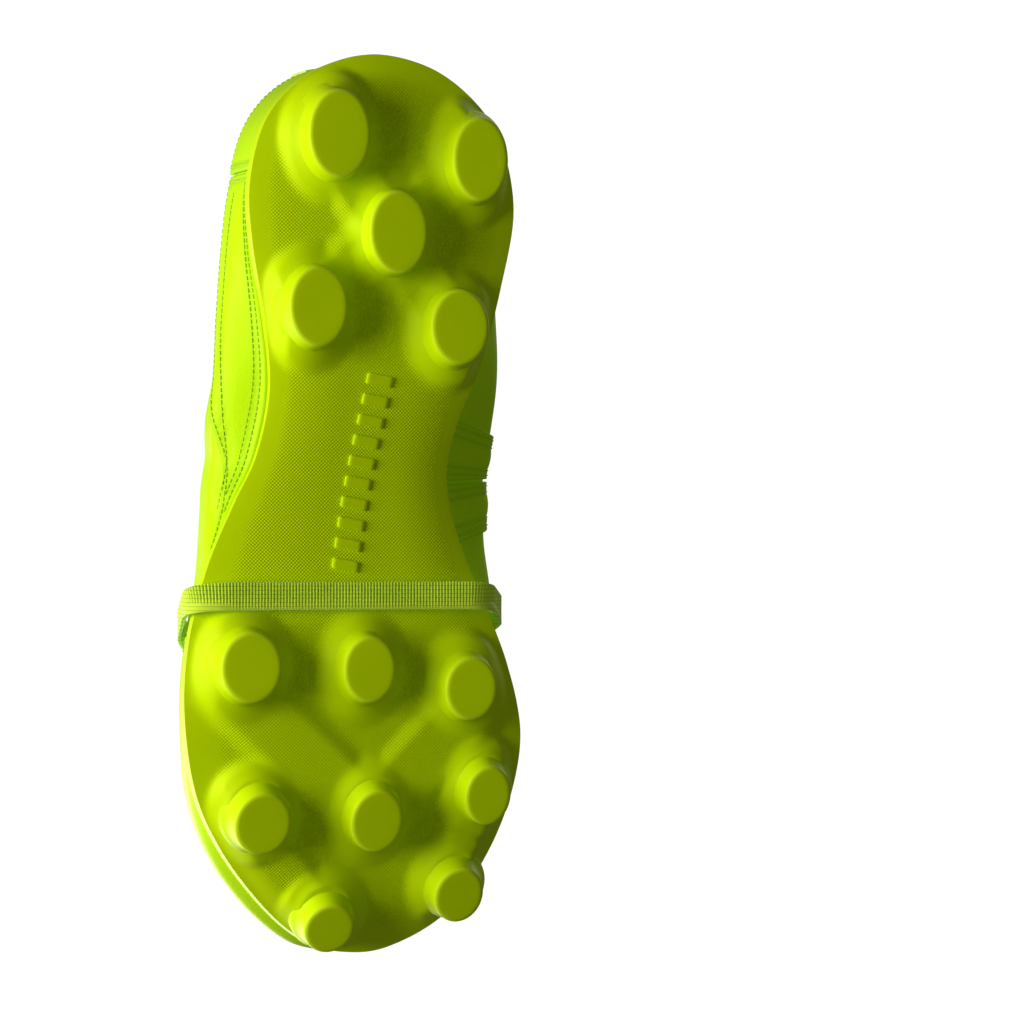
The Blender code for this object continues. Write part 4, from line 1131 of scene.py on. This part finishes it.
def sewn_channel(piece, row, depth, width):
    """Pulls a padded surface in along a row of stitches and marks how far."""
    place = np.empty(len(piece.data.vertices) * 3)
    piece.data.vertices.foreach_get("co", place)
    place = place.reshape(-1, 3) / MM
    line, outward = row
    pull, sunk = np.zeros_like(place), np.zeros(len(place))
    for k in range(0, len(place), 3000):
        gap = place[k:k + 3000, None] - line[None]
        far = (gap ** 2).sum(-1)
        best = far.argmin(1)
        share = np.exp(-far[np.arange(len(best)), best] / width ** 2)
        pull[k:k + 3000] = -outward[best] * (share * depth)[:, None]
        sunk[k:k + 3000] = share
    piece.data.vertices.foreach_set("co", ((place + pull) * MM).ravel())
    # The same amount darkens the leather's colour there: painted shade along the sewn channel.
    layer = piece.data.attributes.new("sunk", "FLOAT", "POINT")
    layer.data.foreach_set("value", sunk)
    edge = piece.data.attributes.new("gap", "FLOAT", "POINT")
    edge.data.foreach_set("value", np.full(len(place), 9.0))
    return piece


collar = blown_up(collar_roll(), 1.7, 0.8)
collar_us = np.linspace(-FACING_TOP + 0.02, FACING_TOP - 0.02, 300)
collar_row = row_on(collar_us, np.full_like(collar_us, 0.902), 4.1)
collar = sewn_channel(collar, collar_row, 0.8, 1.6)
dressed(collar, "collar_padding", LEATHER_SKIN, "upper_leather")
stitched("collar_stitches", [(collar_row[0] - 0.5 * collar_row[1], collar_row[1])])

# ---------------------------------------------------------------- tongue
# The tongue is a foam pad in soft leather. It runs from under the eyestays up through the
# opening, where its long end folds over forwards as a flap.
TONGUE_TOP, TONGUE_THICK, TONGUE_HALF = -0.7, 5.0, 24.0
HINGE_Y, HINGE_Z = 42.0, 127.0
ACROSS = np.linspace(-1, 1, 37)


def across_ridge(share, half_width, offset):
    """Points across the ridge from the lateral to the medial side."""
    u = np.where(ACROSS < 0, share, 2.0 - share)
    side = side_of(u)[0]
    edge, out = edge_frame(u)
    girth_x = edge[:, 0] + out[:, 0] * girth_reach(side, edge[:, 1])
    reach = np.minimum(0.999, np.abs(ACROSS) * half_width / np.abs(girth_x - MIDLINE_X))
    return shell(u, R_GIRTH + (1 - R_GIRTH) * np.arccos(reach) * 2 / np.pi, offset)


def opening_arc(half_width, inwards, z_shift):
    """Points inside the front of the collar opening, at its own height."""
    middle, half_long, half_wide = OPENING
    reach = np.minimum(0.98, np.abs(ACROSS) * half_width / (half_wide - 1.0)) ** (1 / 0.75)
    part = 1.0 - np.arcsin(reach) / np.pi
    top = np.stack(rib_top(np.where(ACROSS < 0, 1.0, -1.0), part * OPEN_END), axis=-1)
    centre = np.stack([np.full_like(reach, MIDLINE_X), np.full_like(reach, middle), top[:, 2]], -1)
    inward = centre - top
    inward /= np.linalg.norm(inward, axis=1, keepdims=True)
    return top + inward * inwards + np.array((0, 0, z_shift))


def ridge_share(y):
    return OPEN_END + (28.0 - y) / (28.0 - POLE_Y) * (POLE - OPEN_END)


def tongue_pad(slack):
    """The tongue as a closed loft, thinner by slack on each face before it is filled."""
    rings = []
    for y in np.linspace(-53.5, 16.0, 8):
        half = along([(-54, 15.0), (-42, 20.0), (-4, 22.5), (16, 21.0)], y)
        deep = TONGUE_TOP - 2.2 * ease((y + 10) / 26.0) - 1.8 * ease((-36.0 - y) / 16.0)
        rings.append((across_ridge(ridge_share(y), half - slack, deep - slack),
                      across_ridge(ridge_share(y), half - 0.6 - slack,
                                   deep - TONGUE_THICK + slack)))
    for inwards, drop, half in ((6.2, -6.5, 18.5), (7.0, 3.0, 17.5)):
        upper = opening_arc(half - slack, inwards + slack, drop)
        lower = opening_arc(half - 1.0 - slack, inwards + 4.6 - slack, drop - 1.5)
        raised = 7.0 * np.abs(ACROSS[:, None]) ** 3 * np.array((0, 0, 1.0))
        rings.append((upper + raised, lower + raised))
    s = ACROSS
    x = MIDLINE_X - s * (TONGUE_HALF * 0.82 - slack)
    z = HINGE_Z - 1.6 - 3.0 * s * s - 3.0 * s ** 8
    front = np.stack([x, HINGE_Y - 0.2 + 3.0 * s * s + slack, z], -1)
    back = np.stack([x * 0.98 - 0.16, HINGE_Y + 3.6 + 3.0 * s * s - slack, z - 0.2], -1)
    rings.append((front, back))
    loops = [np.concatenate([upper, lower[::-1]]) for upper, lower in rings]
    loops = capped(smooth_rings(loops, 5))
    return joined("tongue_pad", loops, lattice(len(loops), loops.shape[1], closed=True), None, 80.0)


tongue = blown_up(tongue_pad(0.5), 1.6, 0.7)
mark = tongue.data.attributes.new("gap", "FLOAT", "POINT")
mark.data.foreach_set("value", np.full(len(tongue.data.vertices), 9.0))
dressed(tongue, "tongue", LEATHER_SKIN, "upper_leather")

# ---------------------------------------------------------------- tongue flap
# The end of the tongue folds over and lies on the instep: two layers of leather over thin
# foam, cut to a rounded shape and sewn twice near its edge. It swings up and back about the fold.
FLAP_WIDTHS = [(-39.5, 7.0), (-37.0, 15.0), (-31.0, 22.0), (-15.0, 29.0), (5.0, 30.0), (22.0, 27.0)]


def soft_crest(rings, times=14):
    """Takes the sharpness out of the fold along the middle, as thick leather does."""
    for _ in range(times):
        rings[:, 1:-1] = 0.5 * rings[:, 1:-1] + 0.25 * (rings[:, :-2] + rings[:, 2:])
    return rings


def flap_lattices():
    """Outer and inner points of the flap, from its fold to its free end."""
    outer, inner = [], []
    along_fold = np.array((0, -1.0, -0.35)) / math.hypot(1, 0.35)
    normal = np.array((0, -0.35, 1.0))
    normal /= np.linalg.norm(normal)
    for turn in (-1.0, 0.0):
        middle = np.array((0.0, HINGE_Y, HINGE_Z)) + along_fold * (1.5 * (1.0 + turn) - 1.0)
        thick = 0.75 if turn < 0 else 1.5
        spread = np.stack([MIDLINE_X - ACROSS * 22.5, 0 * ACROSS, -3.0 * ACROSS ** 2], -1)
        outer.append(middle + normal * thick + spread)
        inner.append(middle - normal * thick + spread)
    for y in (20.0, 10.0, 0.0, -10.0, -20.0, -28.0, -34.0, -37.5, -39.5):
        half, lift = along(FLAP_WIDTHS, y), 5.0 * ease((y - 2.0) / 26.0)
        outer.append(across_ridge(ridge_share(y), half, FLAP[1] + lift))
        inner.append(across_ridge(ridge_share(y), half, FLAP[0] + lift))
    return soft_crest(smooth_rings(outer, 9)), soft_crest(smooth_rings(inner, 9))


def rim_distance(points):
    """Distance in millimetres of lattice points from the lattice's four borders."""
    down = np.linalg.norm(np.diff(points, axis=0), axis=-1)
    over = np.linalg.norm(np.diff(points, axis=1), axis=-1)
    rows = np.concatenate([np.zeros_like(down[:1]), np.cumsum(down, axis=0)])
    columns = np.concatenate([np.zeros_like(over[:, :1]), np.cumsum(over, axis=1)], axis=1)
    return np.minimum(np.minimum(rows, rows[-1:] - rows),
                      np.minimum(columns, columns[:, -1:] - columns))


flap_top, flap_under = flap_lattices()
flap_gap = rim_distance(flap_top)
bend = np.clip(1 - flap_gap / 2.0, 0, 1)
fall = 0.42 * (1 - np.sqrt(1 - bend ** 2))
# Two sunk stitch rows; the leather also paints them darker, as painted shade in the channels.
flap_sunk = np.exp(-((flap_gap - 3.4) / 0.8) ** 2) + np.exp(-((flap_gap - 5.4) / 0.8) ** 2)
thick_way = flap_top - flap_under
top = flap_top - thick_way * (fall + 0.10 * flap_sunk)[..., None]
under = flap_under + thick_way * fall[..., None]
flap = closed_sheet("flap_leather", top, under, np.minimum(flap_gap * 2, 9.0), flap_sunk)
dressed(flap, "tongue_flap", LEATHER_SKIN, "upper_leather", "flap")


def fold_roll():
    """Soft rolled edge of the fold, round the line about which the flap turns."""
    spread = np.linspace(-22.3, 22.3, 41)
    angle = np.arange(20) * 2 * np.pi / 20
    rings = []
    for x in spread:
        size = 3.0 * math.sqrt(max(0.05, 1 - (abs(x) / 23.2) ** 8))
        droop = 3.0 * (x / 22.5) ** 2
        rings.append([(MIDLINE_X - x, HINGE_Y + 1.0 + size * math.cos(a),
                       HINGE_Z - 1.0 - droop + size * math.sin(a)) for a in angle])
    rings = capped(np.array(rings))
    marks = {"gap": np.full(rings.shape[:2], 9.0)}
    return joined("fold_roll", rings, lattice(len(rings), 20, closed=True), marks, 70.0)


roll = fold_roll()
roll.data.materials.append(LEATHER_SKIN)
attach(roll, "flap")


def level_rows(points, upward, gap, level):
    """Lines on a lattice at a given distance from its border, as one row round it."""
    rows, columns = gap.shape
    found = []
    for i in range(rows):
        for j in range(columns // 2):
            if gap[i, j] <= level < gap[i, j + 1] and gap[i, columns // 2] > level:
                t = (level - gap[i, j]) / (gap[i, j + 1] - gap[i, j])
                found.append((i, j + t))
                break
    left = [(i, j) for i, j in found]
    right = [(i, columns - 1 - j) for i, j in reversed(found)]
    lines = []
    for way in (left, right):
        line, out = [], []
        for i, j in way:
            k, t = int(j), j - int(j)
            k2 = min(k + 1, columns - 1)
            line.append(points[i, k] * (1 - t) + points[i, k2] * t)
            out.append(upward[i, k])
        lines.append((np.array(line), np.array(out)))
    return lines


flap_rows = level_rows(top, thick_way, flap_gap, 3.4) + level_rows(top, thick_way, flap_gap, 5.4)
stitched("flap_stitches", flap_rows, "flap")

# ---------------------------------------------------------------- elastic arch strap
# A ribbed elastic band goes under the sole just behind the front studs and up over the
# instep. Its body is a flat woven band, and its cross ribs stand on the outside.
STRAP_WIDTH, STRAP_LIFT = 9.8, 1.6
STRAP_Y, STRAP_LEAN = -30.4, 0.27
RIB_PITCH = 1.08


def strap_profile(shift):
    """Points of the shoe on the leaning plane where the strap lies."""
    def on_plane(side, point_at):
        low, high = 0.35, 0.85
        for _ in range(30):
            mid = 0.5 * (low + high)
            p = point_at(mid if side > 0 else 2.0 - mid)
            ahead = p[1] + STRAP_LEAN * (p[2] - SOLE_BASE) - STRAP_Y - shift > 0
            low, high = (mid, high) if ahead else (low, mid)
        return point_at(low if side > 0 else 2.0 - low)

    points = []
    for side in (1, -1):
        for r in np.linspace(R_RIM, 1.0, 33):
            cover = 4.1 + 1.5 * ease((r - 0.5) / 0.15)
            points.append(on_plane(side, lambda u: shell(u, r, cover)))
        for f, curl in ((1.0, 99.0), (1.0, EDGE_CURL), (0.96, 1.7), (0.86, 0.0), (0.5, 0.0)):
            def under_sole(u):
                edge, out = edge_frame(u)
                plan = spine_at(u) + (edge + out * 2 * GAP - spine_at(u)) * f
                z = rim_top(edge[1]) if curl > 50 else sole_height(plan[1]) + curl
                return np.array((plan[0], plan[1], z))
            points.append(on_plane(side, under_sole))
    return points


def taut_loop(points, count):
    """Convex loop round the points in front view, resampled evenly, as (x, z) pairs."""
    spots = sorted({(round(float(p[0]), 4), round(float(p[2]), 4)) for p in points})

    def half_hull(items):
        chain = []
        for p in items:
            while len(chain) > 1:
                (ax, az), (bx, bz) = chain[-2], chain[-1]
                if (bx - ax) * (p[1] - az) - (bz - az) * (p[0] - ax) > 0:
                    break
                chain.pop()
            chain.append(p)
        return chain

    hull = half_hull(spots)[:-1] + half_hull(reversed(spots))[:-1]
    hull = np.array(hull + hull[:1])
    run = np.concatenate([[0.0], np.cumsum(np.linalg.norm(np.diff(hull, axis=0), axis=1))])
    start = run[np.argmin(np.abs(hull[:, 0] - MIDLINE_X) + hull[:, 1])]
    at = np.mod(start + run[-1] * np.arange(count) / count, run[-1])
    loop = np.stack([np.interp(at, run, hull[:, k]) for k in (0, 1)], axis=-1)
    for _ in range(6):
        loop = 0.5 * loop + 0.25 * (np.roll(loop, 1, axis=0) + np.roll(loop, -1, axis=0))
    return loop


STRAP_COUNT = 380
strap_loops = [taut_loop(strap_profile(shift), STRAP_COUNT)
               for shift in (-0.5 * STRAP_WIDTH, 0.5 * STRAP_WIDTH)]


def strap_points(across, lift):
    """Closed line along the strap: across runs from -1 at its front edge to 1 at its back."""
    share = 0.5 * (across + 1)
    flat_loop = strap_loops[0] * (1 - share) + strap_loops[1] * share
    run = np.roll(flat_loop, -1, axis=0) - np.roll(flat_loop, 1, axis=0)
    out = np.stack([run[:, 1], -run[:, 0]], axis=-1)
    out /= np.linalg.norm(out, axis=1, keepdims=True)
    place = flat_loop + out * (STRAP_LIFT + lift)
    y = STRAP_Y + across * 0.5 * STRAP_WIDTH - STRAP_LEAN * (place[:, 1] - SOLE_BASE)
    return (np.stack([place[:, 0], y, place[:, 1]], axis=-1),
            np.stack([out[:, 0], 0 * y, out[:, 1]], axis=-1))


def strap_band():
    section = [(-0.95, 0.15), (-1.0, 0.35), (-1.0, 0.75), (-0.95, 0.95), (-0.5, 1.0), (0.0, 1.0),
               (0.5, 1.0), (0.95, 0.95), (1.0, 0.75), (1.0, 0.35), (0.95, 0.15), (0.0, 0.1)]
    rings = np.stack([strap_points(across, lift)[0] for across, lift in section], axis=1)
    rings = np.concatenate([rings, rings[:1]])
    return joined("strap_band", rings, lattice(len(rings), len(section), closed=True), None, 60.0)


def rib_tree():
    """Rounded ribs laid across a line at even steps."""
    tree, given, result = nodes_tree("cross_ribs", [("Pitch", "Float"), ("Width", "Float"),
                                                    ("Height", "Float"), ("Material", "Material")])
    line = put(tree, "GeometryNodeMeshToCurve", {"Mesh": given.outputs["Geometry"]})
    evenly = put(tree, "GeometryNodeResampleCurve",
                 {"Curve": line.outputs[0], "Length": given.outputs["Pitch"]}, mode="LENGTH")
    outward = put(tree, "GeometryNodeInputNamedAttribute", {"Name": "outward"},
                  data_type="FLOAT_VECTOR")
    ahead = put(tree, "FunctionNodeAlignRotationToVector",
                {"Vector": put(tree, "GeometryNodeInputTangent").outputs[0]}, axis="X")
    upright = put(tree, "FunctionNodeAlignRotationToVector",
                  {"Rotation": ahead.outputs[0], "Vector": outward.outputs["Attribute"]},
                  axis="Z", pivot_axis="X")
    core = put(tree, "GeometryNodeCurvePrimitiveLine", {"Start": (0, -0.5, 0), "End": (0, 0.5, 0)})
    ring = put(tree, "GeometryNodeCurvePrimitiveCircle", {"Resolution": 8, "Radius": 0.5})
    rod = put(tree, "GeometryNodeCurveToMesh",
              {"Curve": core.outputs[0], "Profile Curve": ring.outputs[0], "Fill Caps": True})
    thick = sum_of(tree, given.outputs["Pitch"], 0.86, "MULTIPLY")
    size = put(tree, "ShaderNodeCombineXYZ", {"X": thick, "Y": given.outputs["Width"],
                                              "Z": given.outputs["Height"]})
    ribs = put(tree, "GeometryNodeInstanceOnPoints",
               {"Points": evenly.outputs[0], "Instance": rod.outputs[0],
                "Rotation": upright.outputs[0], "Scale": size.outputs[0]})
    finish_tree(tree, given, result, ribs.outputs[0])
    return tree


def web_finish():
    material, tree, shader = finish("strap_web", 0.7, (0.55, 0.85, 0.05), 0.06, 0.0, 0.4)
    mottle = group_node(tree, MOTTLE, Size=120.0, Speck=6000.0)
    colour = blend_colour(tree, mottle.outputs["Shade"], (0.50, 0.72, 0.01), (0.74, 0.95, 0.06))
    place = put(tree, "ShaderNodeSeparateXYZ",
                {0: put(tree, "ShaderNodeTexCoord").outputs["Object"]})
    turn = sum_of(tree, place.outputs["Y"], 2 * math.pi / 0.00135, "MULTIPLY")
    weft = put(tree, "ShaderNodeMath", {0: turn}, operation="SINE").outputs[0]
    gaps = put(tree, "ShaderNodeMapRange", {"Value": weft, "From Min": 0.5, "From Max": 1.0,
                                            "To Min": 0.0, "To Max": 0.45}).outputs[0]
    colour = blend_colour(tree, gaps, colour, (0.16, 0.26, 0.0))
    tree.links.new(colour, shader.inputs["Base Color"])
    rough = sum_of(tree, sum_of(tree, mottle.outputs["Grit"], 0.3, "MULTIPLY"), 0.5)
    tree.links.new(rough, shader.inputs["Roughness"])
    bump = put(tree, "ShaderNodeBump", {"Height": mottle.outputs["Grit"], "Distance": 0.00015,
                                        "Strength": 0.6})
    tree.links.new(bump.outputs["Normal"], shader.inputs["Normal"])
    return material


WEB = web_finish()
CROSS_RIBS = rib_tree()


def closed_row(points, outward):
    return np.concatenate([points, points[:1]]), np.concatenate([outward, outward[:1]])


band = dressed(strap_band(), "elastic_strap", WEB, "strap_webbing")
ribs = grown(guide_lines("strap_ribs", [closed_row(*strap_points(0.0, 1.0))]), CROSS_RIBS,
             {"Pitch": RIB_PITCH * MM, "Width": 0.93 * STRAP_WIDTH * MM, "Height": 1.15 * MM,
              "Material": WEB})
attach(ribs, "shoe")

# ---------------------------------------------------------------- heel pull tab
# A finger tab of the same ribbed webbing is sewn to the back of the heel at its foot and
# stands up behind the collar. It bends back, away from the ankle.
TAB_Y, TAB_Z, TAB_WIDE, TAB_TALL, TAB_THICK = 151.9, 84.0, 14.0, 32.0, 1.6


def tab_line(part):
    """Middle of the tab at a share of its height, from its sewn foot."""
    return np.stack([np.full_like(part, MIDLINE_X), TAB_Y - 3.0 * ease((part - 0.5) / 0.5),
                     TAB_Z + TAB_TALL * part], axis=-1)


def tab_web():
    part = np.concatenate([[0.0, 0.01], np.linspace(0.03, 0.97, 60), [0.99, 1.0]])
    half = 0.5 * TAB_WIDE * np.sqrt(np.maximum(0.12, 1 - np.maximum(0, (part - 0.75) / 0.26) ** 2))
    middle = tab_line(part)
    rings = []
    for k in range(len(part)):
        ring = []
        for x, y in ((1, -0.5), (1.03, 0), (1, 0.5), (0.5, 0.55), (0, 0.55), (-0.5, 0.55),
                     (-1, 0.5), (-1.03, 0), (-1, -0.5), (-0.5, -0.55), (0, -0.55), (0.5, -0.55)):
            ring.append(middle[k] + (half[k] * x, 0.8 * TAB_THICK * y, 0))
        rings.append(ring)
    rings = capped(np.array(rings))
    return joined("tab_web", rings, lattice(len(rings), 12, closed=True), None, 60.0)


tab = dressed(tab_web(), "heel_pull_tab", WEB, "strap_webbing", "pull_tab")
tab_part = np.linspace(0.04, 0.93, 80)
tab_rows = []
for way in (1.0, -1.0):
    outward = np.tile((0.0, way, 0.0), (80, 1))
    tab_rows.append((tab_line(tab_part) + 0.40 * TAB_THICK * outward, outward))
tab_ribs = grown(guide_lines("tab_ribs", tab_rows), CROSS_RIBS,
                 {"Pitch": RIB_PITCH * MM, "Width": 0.72 * TAB_WIDE * MM, "Height": 0.8 * MM,
                  "Material": WEB})
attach(tab_ribs, "pull_tab")

# ---------------------------------------------------------------- floor, light and camera
# The shoe stands on a pale floor that is seen only from above. The camera looks up at the
# sole from a little to the outer side, with a long lens, and the key light comes from there.
TILT = math.radians(17.0)
TOWARDS = Vector((math.sin(TILT), 0.0, -math.cos(TILT)))
RIGHT = Vector((-math.cos(TILT), 0.0, -math.sin(TILT)))
VIEW_WIDTH, VIEW_AWAY = 0.344, 1.8

floor = empty_piece("floor")
floor.data.from_pydata([(-3, -3, 0), (3, -3, 0), (3, 3, 0), (-3, 3, 0)], [], [(0, 1, 2, 3)])
material, tree, shader = finish("floor_paper", 0.9)
mottle = group_node(tree, MOTTLE, Size=3.0, Speck=60.0)
tree.links.new(blend_colour(tree, mottle.outputs["Shade"], (0.86, 0.86, 0.85), (0.9, 0.9, 0.89)),
               shader.inputs["Base Color"])
clear = put(tree, "ShaderNodeBsdfTransparent")
seen = put(tree, "ShaderNodeLightPath").outputs["Is Camera Ray"]
front_side = sum_of(tree, 1.0, put(tree, "ShaderNodeNewGeometry").outputs["Backfacing"], "SUBTRACT")
both = put(tree, "ShaderNodeMixShader", {0: sum_of(tree, seen, front_side, "MULTIPLY"),
                                         1: clear.outputs[0], 2: shader.outputs[0]})
tree.links.new(both.outputs[0], tree.nodes["Material Output"].inputs["Surface"])
floor.data.materials.append(material)

world = bpy.data.worlds.new("studio")
bpy.context.scene.world = world
world.use_nodes = True
sky = world.node_tree.nodes["Background"]
lit = put(world.node_tree, "ShaderNodeMix",
          {"Factor": put(world.node_tree, "ShaderNodeLightPath").outputs["Is Camera Ray"],
           2: 0.08, 3: 1.1}, data_type="FLOAT")
sky.inputs["Color"].default_value = (0.95, 0.95, 0.95, 1.0)
world.node_tree.links.new(lit.outputs[0], sky.inputs["Strength"])


def soft_light(name, place, target, size, power):
    lamp = bpy.data.lights.new(name, "AREA")
    lamp.shape = "RECTANGLE"
    lamp.size, lamp.size_y = size
    lamp.energy = power
    holder = bpy.data.objects.new(name, lamp)
    holder.location = place
    holder.rotation_euler = (Vector(target) - Vector(place)).to_track_quat("-Z", "Y").to_euler()
    bpy.context.scene.collection.objects.link(holder)


soft_light("key_light", (1.05, 0.08, -0.22), (0, 0, 0.03), (0.6, 1.0), 15.5)
soft_light("top_light", (0.5, -0.7, 1.3), (0, 0, 0.05), (1.2, 1.2), 16.0)
soft_light("top_fill", (-0.9, 0.8, 1.0), (0, 0, 0.05), (1.2, 1.2), 6.0)

lens = bpy.data.cameras.new("camera")
lens.sensor_width = 36.0
lens.lens = 36.0 * VIEW_AWAY / VIEW_WIDTH
camera = bpy.data.objects.new("camera", lens)
aim = RIGHT * 0.0481 + Vector((0, -0.00185, 0)) + TOWARDS * -0.01
camera.location = aim + TOWARDS * VIEW_AWAY
camera.rotation_mode = "QUATERNION"
axes = Matrix((RIGHT, (0.0, 1.0, 0.0), TOWARDS)).transposed()
camera.rotation_quaternion = axes.to_quaternion()
bpy.context.scene.collection.objects.link(camera)
bpy.context.scene.camera = camera
bpy.context.scene.view_settings.view_transform = "Standard"
